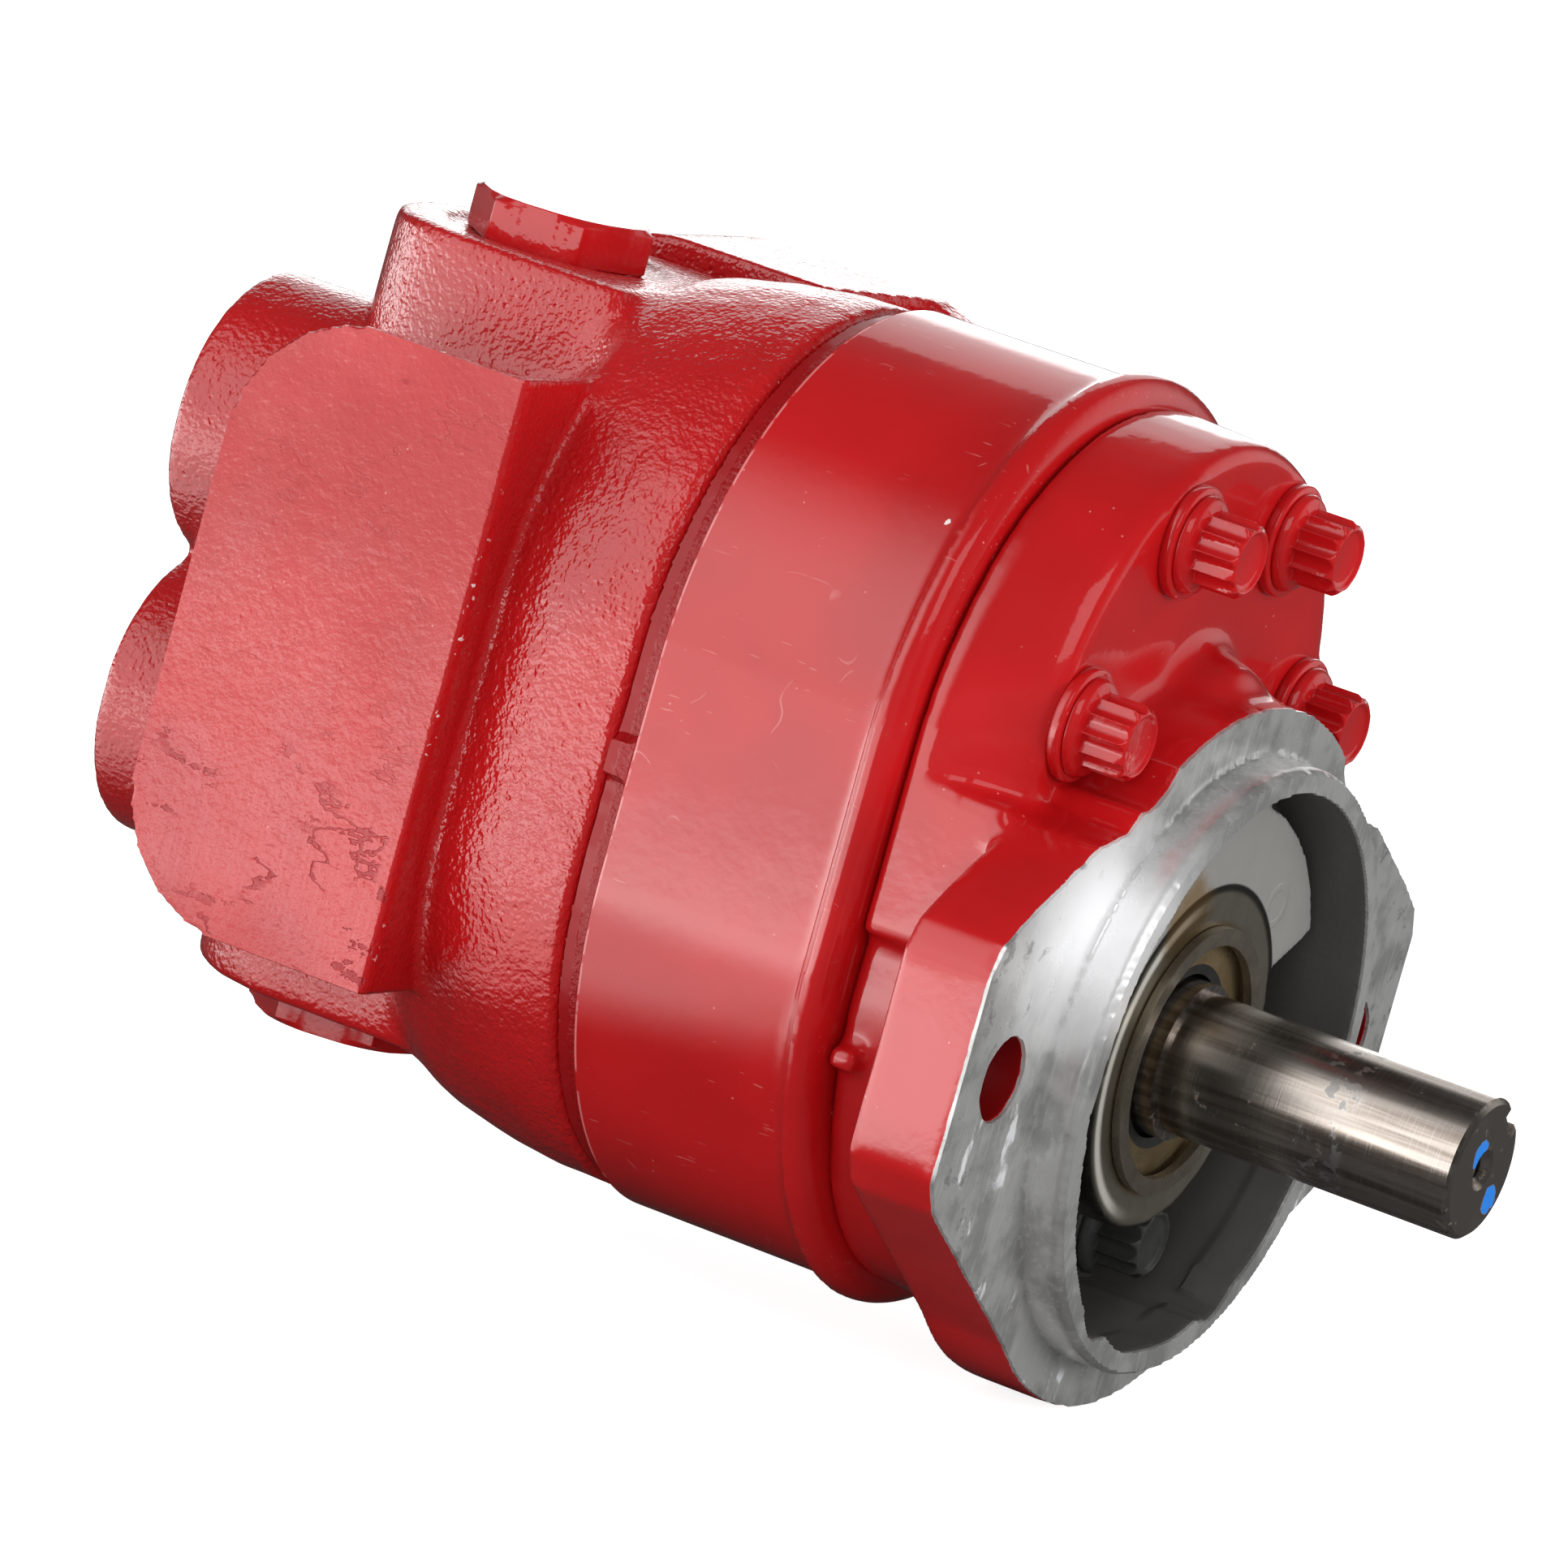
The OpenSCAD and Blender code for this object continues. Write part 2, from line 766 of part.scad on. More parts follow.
module valve_plug_seal(seat_z, face_z) {
    dir = sign(face_z - seat_z);
    rise = abs(face_z - seat_z) - spotface_depth;
    color("black") valve_turned(seat_z, dir)
        translate([plug_thread_r, rise - plug_seal_t - 0.1])
            square([plug_seal_r - plug_thread_r, plug_seal_t]);
}

// A cone-nosed poppet; its nose closes the hole in the seat
module valve_poppet(seat_z, dir) {
    color("silver") valve_turned(seat_z, dir)
        polygon([[0, 0.3], [1.9, 0.3], [3.4, 1.8], [poppet_r, 1.8], [poppet_r, 4],
            [3, 4], [3, poppet_l], [0, poppet_l]]);
}

module valve_seat(seat_z, dir) {
    color("silver") valve_turned(seat_z, dir)
        polygon([[seat_hole_r, -seat_t], [valve_bore_r, -seat_t], [valve_bore_r, 0.9],
            [3.6, 0.9], [seat_hole_r, -0.1]]);
}

// The spring, as one ring for each coil joined by short posts
module valve_spring(seat_z, face_z) {
    dir = sign(face_z - seat_z);
    from = 4 + spring_room;
    to = abs(face_z - seat_z) - spotface_depth - plug_bore_l + 5.5 - spring_room;
    pitch = (to - from - 2 * spring_wire_r) / spring_coils;
    color("gray") {
        valve_turned(seat_z, dir)
            for (i = [0 : spring_coils])
                translate([spring_r, from + spring_wire_r + i * pitch]) circle(spring_wire_r, $fn = 24);
        translate([0, valve_y, seat_z]) mirror([0, 0, dir > 0 ? 0 : 1])
            for (i = [0 : spring_coils - 1])
                rotate(180 * i) translate([spring_r, 0, from + spring_wire_r + i * pitch])
                    cylinder(h = pitch, r = spring_wire_r * 0.8, $fn = 24);
    }
}

module top_valve_plug() {
    valve_plug(top_seat_z, top_face, top_plug_flats, top_head_h, 41);
}

module top_plug_seal() {
    valve_plug_seal(top_seat_z, top_face);
}

module top_valve_spring() {
    valve_spring(top_seat_z, top_face);
}

module top_valve_poppet() {
    valve_poppet(top_seat_z, 1);
}

module top_valve_seat() {
    valve_seat(top_seat_z, 1);
}

module bottom_valve_plug() {
    valve_plug(bottom_seat_z, bottom_face, bottom_plug_flats, bottom_head_h, 46);
}

module bottom_plug_seal() {
    valve_plug_seal(bottom_seat_z, bottom_face);
}

module bottom_valve_spring() {
    valve_spring(bottom_seat_z, bottom_face);
}

module bottom_valve_poppet() {
    valve_poppet(bottom_seat_z, -1);
}

module bottom_valve_seat() {
    valve_seat(bottom_seat_z, -1);
}

front_housing();
gear_housing();
rear_casting();
lobe_screws();
cavity_screws();
lobe_washers();
cavity_washers();
drive_shaft();
drive_gear();
idler_shaft();
idler_gear();
drive_front_bush();
drive_rear_bush();
idler_front_bush();
idler_rear_bush();
front_wear_plate();
rear_wear_plate();
front_plate_seal();
rear_plate_seal();
front_body_seal();
rear_body_seal();
dowel_pins();
shaft_seal_case();
shaft_seal_lip();
seal_snap_ring();
top_valve_plug();
top_plug_seal();
top_valve_spring();
top_valve_poppet();
top_valve_seat();
bottom_valve_plug();
bottom_plug_seal();
bottom_valve_spring();
bottom_valve_poppet();
bottom_valve_seat();
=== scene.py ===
import itertools
import json
import math

import bmesh
import bpy
import numpy as np
from mathutils import Matrix, Vector


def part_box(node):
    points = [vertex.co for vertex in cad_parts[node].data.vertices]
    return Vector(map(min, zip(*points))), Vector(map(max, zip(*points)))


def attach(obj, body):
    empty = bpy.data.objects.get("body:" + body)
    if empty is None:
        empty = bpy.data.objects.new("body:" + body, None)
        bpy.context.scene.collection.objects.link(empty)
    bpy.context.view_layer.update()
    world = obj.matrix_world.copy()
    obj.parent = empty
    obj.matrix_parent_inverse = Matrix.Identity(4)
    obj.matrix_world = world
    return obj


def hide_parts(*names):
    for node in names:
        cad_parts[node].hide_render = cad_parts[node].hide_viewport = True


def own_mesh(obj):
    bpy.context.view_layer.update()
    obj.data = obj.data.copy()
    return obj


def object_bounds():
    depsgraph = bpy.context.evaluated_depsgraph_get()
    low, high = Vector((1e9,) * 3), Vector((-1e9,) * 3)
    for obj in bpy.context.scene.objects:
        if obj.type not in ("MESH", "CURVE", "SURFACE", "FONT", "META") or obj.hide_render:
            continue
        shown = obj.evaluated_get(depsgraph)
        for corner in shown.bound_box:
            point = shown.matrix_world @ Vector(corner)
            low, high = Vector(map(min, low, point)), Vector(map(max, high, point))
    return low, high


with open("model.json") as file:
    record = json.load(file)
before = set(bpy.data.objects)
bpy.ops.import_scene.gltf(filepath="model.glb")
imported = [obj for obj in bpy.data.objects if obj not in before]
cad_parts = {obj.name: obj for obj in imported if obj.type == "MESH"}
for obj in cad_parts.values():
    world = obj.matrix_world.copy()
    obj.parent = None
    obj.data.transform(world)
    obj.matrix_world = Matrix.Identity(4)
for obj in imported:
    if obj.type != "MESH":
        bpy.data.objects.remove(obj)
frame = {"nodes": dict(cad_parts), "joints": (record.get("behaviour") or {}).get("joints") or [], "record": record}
cad_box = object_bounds()

MM = 0.001

# ---- Places taken from the CAD, in millimetres ----


def corners(node):
    """A CAD node's lowest and highest corner, in millimetres."""
    return [Vector(corner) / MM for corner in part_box(node)]


joints = {j["name"]: j for j in frame["joints"]}
IDLER_Z = joints["idler_spin"]["pos_m"][2] / MM
drum_low, drum_high = corners("gear_housing")
DRUM_FRONT = drum_low.y
DRUM_REAR = corners("rear_casting")[0].y
BEAD_R = drum_high.x
BEAD_HEIGHT = 1.6
DRUM_R = BEAD_R - BEAD_HEIGHT
ARC_LOW = drum_low.z + BEAD_R
ARC_HIGH = drum_high.z - BEAD_R
PAD_X = corners("rear_casting")[1].x
PORT_FACE = corners("rear_casting")[1].y
VALVE_Y = (corners("top_plug_seal")[0].y + corners("top_plug_seal")[1].y) / 2
PILOT_FRONT = corners("front_housing")[0].y
SHAFT_END = corners("drive_shaft")[0].y
WASHER_FRONT = corners("lobe_washers")[0].y
SCREW_SEAT = corners("lobe_washers")[1].y
HEAD_TOP = corners("lobe_screws")[0].y
SCREW_END = corners("lobe_screws")[1].y
MOUNTS = {m["name"]: m for m in frame["record"]["mounts"]}
PILOT_R = MOUNTS["pilot"]["dims"]["r_mm"]
MOUNT_X = MOUNTS["mounting_holes"]["dims"]["spacing_x_mm"] / 2
SLOTS = {part["node"]: part["material_slot"] for part in frame["record"]["subparts"]}

# The recess inside the pilot ring, the side pads' front walls and the top boss's half width
CAVITY_R = 38
WALL_Y = 90.5
BOSS_X = 21.5
# The drum's bead: how far its front edge is rounded, and the hollow curve from it down to the drum
BEAD_ROUND = 3.4
COVE_ROUND = 3.2
# The step trimmed off the drum's rear edge, and a paint chip on the drum's side
STEP_WIDTH = 3.8
STEP_DEPTH = 1.8
CHIP = (-38.5, 34.8, 62)
# The lip left between the near pad's face and the sunk ledge behind it, and how far the ledge sinks
PAD_LIP = 2.5
LEDGE_SINK = 6.5


# ---- Mesh tools ----

# Large primes that scatter a cell's three numbers into one
HASH = (73856093, 19349663, 83492791)


def soft_noise(points, size, seed=0):
    """Smooth noise from -1 to 1 that changes over the given size."""
    scaled = points / size + 37.3 * seed + 500
    cell = np.floor(scaled).astype(np.int64)
    t = scaled - cell
    t = t * t * (3 - 2 * t)
    total = np.zeros(len(points))
    for step in itertools.product((0, 1), repeat=3):
        c = cell + np.array(step)
        key = (c[:, 0] * HASH[0]) ^ (c[:, 1] * HASH[1]) ^ (c[:, 2] * HASH[2])
        key = ((key ^ (key >> 13)) * 1274126177) & 0xFFFFFFFF
        value = ((key ^ (key >> 16)) & 0xFFFF) / 32767.5 - 1
        weight = np.ones(len(points))
        for axis, side in enumerate(step):
            weight *= t[:, axis] if side else 1 - t[:, axis]
        total += value * weight
    return total


def ramp(values, low, high):
    """0 below low, 1 above high and a smooth step between."""
    t = np.clip((values - low) / (high - low), 0, 1)
    return t * t * (3 - 2 * t)


class Skin:
    """The points of a mesh as numbers in millimetres, for shaping."""

    def __init__(self, obj):
        self.mesh = obj.data
        count = len(self.mesh.vertices)
        flat = np.empty(count * 3)
        self.mesh.vertices.foreach_get("co", flat)
        self.co = flat.reshape(count, 3) / MM
        ends = np.empty(len(self.mesh.edges) * 2, np.int32)
        self.mesh.edges.foreach_get("vertices", ends)
        self.ends = ends.reshape(-1, 2)
        self.valence = np.bincount(self.ends.ravel(), minlength=count)

    @property
    def x(self):
        return self.co[:, 0]

    @property
    def y(self):
        return self.co[:, 1]

    @property
    def z(self):
        return self.co[:, 2]

    def normals(self):
        self.save()
        flat = np.empty(len(self.co) * 3)
        self.mesh.vertices.foreach_get("normal", flat)
        return flat.reshape(-1, 3)

    def relax(self, weight, steps, edges=1.0):
        """Moves each point towards the middle of its neighbours: rounds edges, fills corners.

        edges is how much outer edges take part: at 0 only inner corners fill."""
        a, b = self.ends[:, 0], self.ends[:, 1]
        count = len(self.co)
        for i in range(steps):
            if edges < 1 and i % 4 == 0:
                normals = self.normals()
            moves = np.empty_like(self.co)
            for axis in range(3):
                line = self.co[:, axis]
                near = np.bincount(a, line[b], count) + np.bincount(b, line[a], count)
                moves[:, axis] = near / self.valence - line
            part = weight * 0.5
            if edges < 1:
                part = part * np.where((moves * normals).sum(axis=1) > 0, 1.0, edges)
            self.co += moves * part[:, None]

    def push(self, amount):
        """Moves each point along its normal by its own amount."""
        self.co += self.normals() * amount[:, None]

    def from_spine(self):
        """Distance from the housings' spine, the line between the two arc centres."""
        return np.hypot(self.x, self.z - np.clip(self.z, ARC_LOW, ARC_HIGH))

    def set_from_spine(self, chosen, radius):
        """Puts the chosen points at a radius from the housings' spine."""
        middle = np.clip(self.z, ARC_LOW, ARC_HIGH)
        scale = np.where(chosen, radius / np.maximum(self.from_spine(), 1), 1)
        self.co[:, 0] *= scale
        self.co[:, 2] = middle + (self.z - middle) * scale

    def snap(self, axis, value, reach, chosen):
        """Puts the chosen points that are within reach of a flat face onto it."""
        near = chosen & (np.abs(self.co[:, axis] - value) < reach)
        self.co[near, axis] = value

    def save(self):
        self.mesh.vertices.foreach_set("co", (self.co * MM).ravel())
        self.mesh.update()


def new_object(name, mesh):
    obj = bpy.data.objects.new(name, mesh)
    bpy.context.scene.collection.objects.link(obj)
    return obj


def lumps(mesh, places):
    """Adds rounded lumps to a mesh: each is a centre and three radii, in millimetres."""
    made = bmesh.new()
    made.from_mesh(mesh)
    for centre, radii in places:
        scale = Matrix.Diagonal((*(Vector(radii) * MM), 1))
        spot = Matrix.Translation(Vector(centre) * MM) @ scale
        bmesh.ops.create_icosphere(made, subdivisions=3, radius=1, matrix=spot)
    made.to_mesh(mesh)
    made.free()


def dense_copy(node, name, voxel, extra=()):
    """A copy of a CAD node as an even net of small quads, which can be shaped like a casting."""
    source = frame["nodes"][node].data
    mesh = bpy.data.meshes.new(name)
    made = bmesh.new()
    made.from_mesh(source)
    bmesh.ops.remove_doubles(made, verts=made.verts, dist=0.001 * MM)
    made.to_mesh(mesh)
    made.free()
    lumps(mesh, extra)
    obj = new_object(name, mesh)
    remesh = obj.modifiers.new("net", "REMESH")
    remesh.mode = "VOXEL"
    remesh.voxel_size = voxel * MM
    remesh.use_smooth_shade = True
    graph = bpy.context.evaluated_depsgraph_get()
    dense = bpy.data.meshes.new_from_object(obj.evaluated_get(graph))
    obj.modifiers.clear()
    obj.data = dense
    dense.name = name
    return obj


def piece_from(made, name, crease=None):
    """A smooth-shaded object from a bmesh; edges steeper than crease degrees stay sharp."""
    bmesh.ops.recalc_face_normals(made, faces=made.faces)
    mesh = bpy.data.meshes.new(name)
    made.to_mesh(mesh)
    made.free()
    mesh.shade_smooth()
    if crease is not None:
        mesh.set_sharp_from_angle(angle=math.radians(crease))
    return new_object(name, mesh)


def turned_piece(name, rings, places, start=0.0):
    """Copies of a turned shape along Y.

    Each ring is a Y, a radius and a limit on the radius as a function of the angle."""
    points = 96
    made = bmesh.new()
    for x, z in places:
        loops = []
        for y, radius, limit in rings:
            loop = []
            for i in range(points):
                angle = math.radians(start) + 2 * math.pi * i / points
                r = min(radius, limit(angle)) if limit else radius
                spot = Vector((x + r * math.cos(angle), y, z + r * math.sin(angle)))
                loop.append(made.verts.new(spot * MM))
            loops.append(loop)
        for near, far in zip(loops, loops[1:]):
            for i in range(points):
                j = (i + 1) % points
                made.faces.new((near[i], near[j], far[j], far[i]))
        made.faces.new(loops[0])
        made.faces.new(loops[-1])
    return piece_from(made, name, 45)


def soften(obj, width):
    """Rounds a piece's outer edges."""
    bevel = obj.modifiers.new("soft_edges", "BEVEL")
    bevel.width = width * MM
    bevel.segments = 3
    bevel.limit_method = "ANGLE"
    bevel.angle_limit = math.radians(22)


# ---- Material tools ----


class Paint:
    """A material's node tree with short ways to add to it."""

    def __init__(self, name):
        self.material = bpy.data.materials.new(name)
        self.material.use_nodes = True
        self.tree = self.material.node_tree
        self.shader = self.tree.nodes["Principled BSDF"]
        self.place = self.add("TexCoord", output="Object")
        split = self.tree.nodes.new("ShaderNodeSeparateXYZ")
        self.tree.links.new(self.place, split.inputs[0])
        self.x, self.y, self.z = (self.maths("MULTIPLY", out, 1 / MM) for out in split.outputs)

    def add(self, kind, inputs=None, output=0, **settings):
        made = self.tree.nodes.new("ShaderNode" + kind)
        for key, value in settings.items():
            setattr(made, key, value)
        for key, value in (inputs or {}).items():
            self.fill(made.inputs[key], value)
        return made.outputs[output]

    def fill(self, socket, value):
        if isinstance(value, bpy.types.NodeSocket):
            self.tree.links.new(value, socket)
        else:
            socket.default_value = value

    def maths(self, operation, *values):
        return self.add("Math", dict(enumerate(values)), operation=operation)

    def step(self, value, low, high):
        """0 below low, 1 above high and a smooth step between; turned round if low is above high."""
        inputs = {"Value": value, "From Min": low, "From Max": high, "To Min": 0.0, "To Max": 1.0}
        return self.add("MapRange", inputs, interpolation_type="SMOOTHSTEP")

    def stretched(self, sx, sy, sz):
        """Object coordinates scaled along each axis."""
        return self.add("VectorMath", {0: self.place, 1: (sx, sy, sz)}, operation="MULTIPLY")

    def noise(self, size, detail=2.0, where=None, rough=0.5):
        """Noise from 0 to 1 with features of a size in millimetres."""
        inputs = {"Vector": where or self.place, "Scale": 1 / (size * MM)}
        inputs |= {"Detail": detail, "Roughness": rough}
        return self.add("TexNoise", inputs)

    def cells(self, size):
        """Distance to the nearest of a set of scattered points, as a part of their spacing."""
        inputs = {"Vector": self.place, "Scale": 1 / (size * MM), "Randomness": 1.0}
        return self.add("TexVoronoi", inputs, feature="F1", output="Distance")

    def far_from(self, x, z, mirrored=False):
        """Distance in millimetres from a line along Y; mirrored means on both sides of the middle."""
        dx = self.maths("SUBTRACT", self.maths("ABSOLUTE", self.x) if mirrored else self.x, x)
        dz = self.maths("SUBTRACT", self.z, z)
        return self.maths("SQRT", self.maths("ADD", self.both(dx, dx), self.both(dz, dz)))

    def both(self, a, b):
        return self.maths("MULTIPLY", a, b)

    def either(self, a, b):
        return self.maths("MAXIMUM", a, b)

    def blend(self, part, a, b):
        """A colour or number between a and b."""
        if any(isinstance(v, tuple) or getattr(v, "type", "") == "RGBA" for v in (a, b)):
            mixed = self.tree.nodes.new("ShaderNodeMix")
            mixed.data_type = "RGBA"
            for index, value in ((0, part), (6, a), (7, b)):
                self.fill(mixed.inputs[index], (*value, 1.0) if isinstance(value, tuple) else value)
            return mixed.outputs[2]
        mixed = self.tree.nodes.new("ShaderNodeMix")
        for index, value in ((0, part), (2, a), (3, b)):
            self.fill(mixed.inputs[index], value)
        return mixed.outputs[0]

    def blend_normal(self, part, bumped):
        """The bumped normal, fading to the plain one where part is 1."""
        plain = self.add("NewGeometry", output="Normal")
        mixed = self.tree.nodes.new("ShaderNodeMix")
        mixed.data_type = "VECTOR"
        for index, value in ((0, part), (4, bumped), (5, plain)):
            self.fill(mixed.inputs[index], value)
        return mixed.outputs[1]

    def bump(self, height, depth, after=None):
        """A normal bumped by a height from 0 to 1 that stands for a depth in millimetres."""
        inputs = {"Height": height, "Distance": depth * MM, "Strength": 1.0}
        if after is not None:
            inputs["Normal"] = after
        return self.add("Bump", inputs)

    def set_normal(self, normal):
        """The same bumps for the paint and for the clear gloss on top of it."""
        self.set(Normal=normal, Coat_Normal=normal)

    def set(self, **values):
        for key, value in values.items():
            self.fill(self.shader.inputs[key.replace("_", " ")], value)


RED = (0.50, 0.006, 0.008)
DEEP_RED = (0.42, 0.0045, 0.006)
ALUMINIUM = (0.74, 0.74, 0.73)
# Bright aluminium for machining lines, and the colour of the painted highlight on the flange face
GLINT_AND_BRIGHT_ALUMINIUM = (0.95, 0.95, 0.96)
DULL_ALUMINIUM = (0.44, 0.43, 0.41)


def enamel(paint):
    """Red enamel colour with soft unevenness and dust specks."""
    cloud = paint.step(paint.noise(28, 3), 0.35, 0.65)
    colour = paint.blend(cloud, DEEP_RED, RED)
    speck = paint.both(paint.step(paint.cells(2.6), 0.075, 0.045), paint.step(paint.noise(9), 0.50, 0.62))
    return paint.blend(paint.both(speck, 0.6), colour, (0.75, 0.30, 0.28))


def smooth_red():
    """Gloss red over smooth aluminium: fine scratches, a chip, painted shade on the rear step and a painted
    highlight along its edge.
    """
    p = Paint("red_gloss_on_aluminium")
    colour = enamel(p)
    streaks = p.noise(0.5, 1.0, p.stretched(1.0, 0.12, 1.0))
    scratch = p.both(p.step(streaks, 0.70, 0.74), p.step(p.noise(16, 2), 0.54, 0.62))
    colour = p.blend(p.both(scratch, 0.25), colour, (0.80, 0.35, 0.33))
    bend = p.maths("ABSOLUTE", p.maths("SUBTRACT", p.noise(11, 1.0), 0.5))
    line = p.both(p.step(bend, 0.005, 0.002), p.step(p.noise(6, 2), 0.60, 0.68))
    colour = p.blend(p.both(line, 0.25), colour, (0.80, 0.40, 0.38))
    near = p.add("VectorMath", {0: p.place, 1: Vector(CHIP) * MM}, operation="DISTANCE", output="Value")
    near = p.maths("ADD", near, p.both(p.noise(0.8), 0.8 * MM))
    colour = p.blend(p.step(near, 0.85 * MM, 0.70 * MM), colour, (0.80, 0.72, 0.70))
    edge = DRUM_REAR - STEP_WIDTH
    strip = p.step(p.y, edge - 0.1, edge + 0.1)
    torn = p.both(strip, p.step(p.maths("ADD", p.y, p.noise(2, 3)), edge + 2.7, edge + 2.2))
    # Painted shade: the strip on the rear step is coloured darker
    colour = p.blend(p.both(strip, 0.7), colour, (0.22, 0.002, 0.004))
    # Painted highlight: a thin broken light line along the step's edge
    line = p.both(p.step(p.y, edge - 0.45, edge - 0.30), p.step(p.y, edge - 0.05, edge - 0.15))
    line = p.both(line, p.step(p.noise(3, 3), 0.40, 0.50))
    colour = p.blend(p.both(line, 0.6), colour, (0.75, 0.30, 0.30))
    p.set(Base_Color=colour, Coat_Weight=p.blend(strip, 1.0, 0.25))
    p.set(Coat_Roughness=p.blend(p.noise(14, 3), 0.04, 0.12), Roughness=0.35, Specular_IOR_Level=0.2)
    wave = p.bump(p.noise(7, 2), 0.05)
    fine = p.maths("ADD", p.both(p.noise(1.3, 2), 0.05), p.both(p.noise(0.6, 2), torn))
    p.set_normal(p.bump(fine, 0.24, wave))
    return p.material


def cast_red():
    """Gloss red over rough cast iron; the side pads are milled flat, scuffed and chipped at the edges."""
    p = Paint("red_gloss_on_cast_iron")
    side = p.maths("ABSOLUTE", p.x)
    milled = p.step(side, PAD_X - 0.5, PAD_X - 0.25)
    colour = enamel(p)
    low = p.step(p.z, 16, -6)
    long = p.stretched(1.0, 0.45, 1.0)
    bend = p.maths("ABSOLUTE", p.maths("SUBTRACT", p.noise(7, 4, long, 0.6), 0.5))
    torn = p.both(p.step(bend, 0.016, 0.008), p.step(p.noise(12, 2), 0.52, 0.60))
    peeled = p.both(p.step(p.noise(4, 5, long, 0.65), 0.60, 0.615), p.step(p.noise(17, 2), 0.48, 0.58))
    peeled = p.both(milled, p.both(p.either(torn, peeled), p.blend(low, 0.25, 1.0)))
    scuff = p.noise(1.1, 2, p.stretched(1.0, 0.18, 1.0))
    scuffed = p.both(milled, p.both(p.step(scuff, 0.66, 0.72), p.step(p.noise(13, 2), 0.50, 0.60)))
    colour = p.blend(p.both(peeled, 0.6), colour, (0.24, 0.002, 0.006))
    colour = p.blend(p.both(scuffed, 0.45), colour, (0.26, 0.003, 0.007))
    edge = p.both(p.step(side, PAD_X - 1.6, PAD_X - 0.7), p.step(side, PAD_X - 0.05, PAD_X - 0.30))
    chip = p.both(edge, p.both(p.step(p.noise(1.0, 2), 0.62, 0.66), p.step(p.noise(8, 1), 0.50, 0.58)))
    colour = p.blend(p.both(chip, 0.9), colour, (0.75, 0.62, 0.60))
    clear = p.blend(milled, 1.0, p.blend(p.step(p.noise(30, 3), 0.35, 0.65), 0.65, 1.0))
    p.set(Base_Color=colour, Coat_Weight=p.blend(p.either(peeled, scuffed), clear, 0.45))
    p.set(Coat_Roughness=p.blend(milled, p.blend(p.noise(10, 3), 0.06, 0.12), 0.16))
    p.set(Roughness=0.38, Specular_IOR_Level=0.2)
    grain = p.noise(0.8, 1.0)
    pits = p.step(p.cells(2.0), 0.05, 0.25)
    swirl = p.step(p.noise(3.2, 3, rough=0.55), 0.38, 0.62)
    rough = p.maths("ADD", p.maths("ADD", p.both(grain, 0.75), p.both(pits, 0.30)), p.both(swirl, 0.12))
    marks = p.both(p.noise(0.8, 1.0, p.stretched(1.0, 1.0, 0.04)), p.step(p.noise(30, 2), 0.40, 0.60))
    flat = p.maths("ADD", p.both(p.noise(1.6, 3, rough=0.6), 0.60), p.both(marks, 0.40))
    flat = p.maths("SUBTRACT", p.maths("ADD", flat, p.both(pits, 0.10)), p.both(peeled, 0.35))
    swell = p.bump(p.noise(6, 2), 0.16)
    height = p.blend(milled, p.both(rough, 0.62), p.both(flat, 0.75))
    p.set_normal(p.bump(height, 0.42, p.blend_normal(milled, swell)))
    return p.material


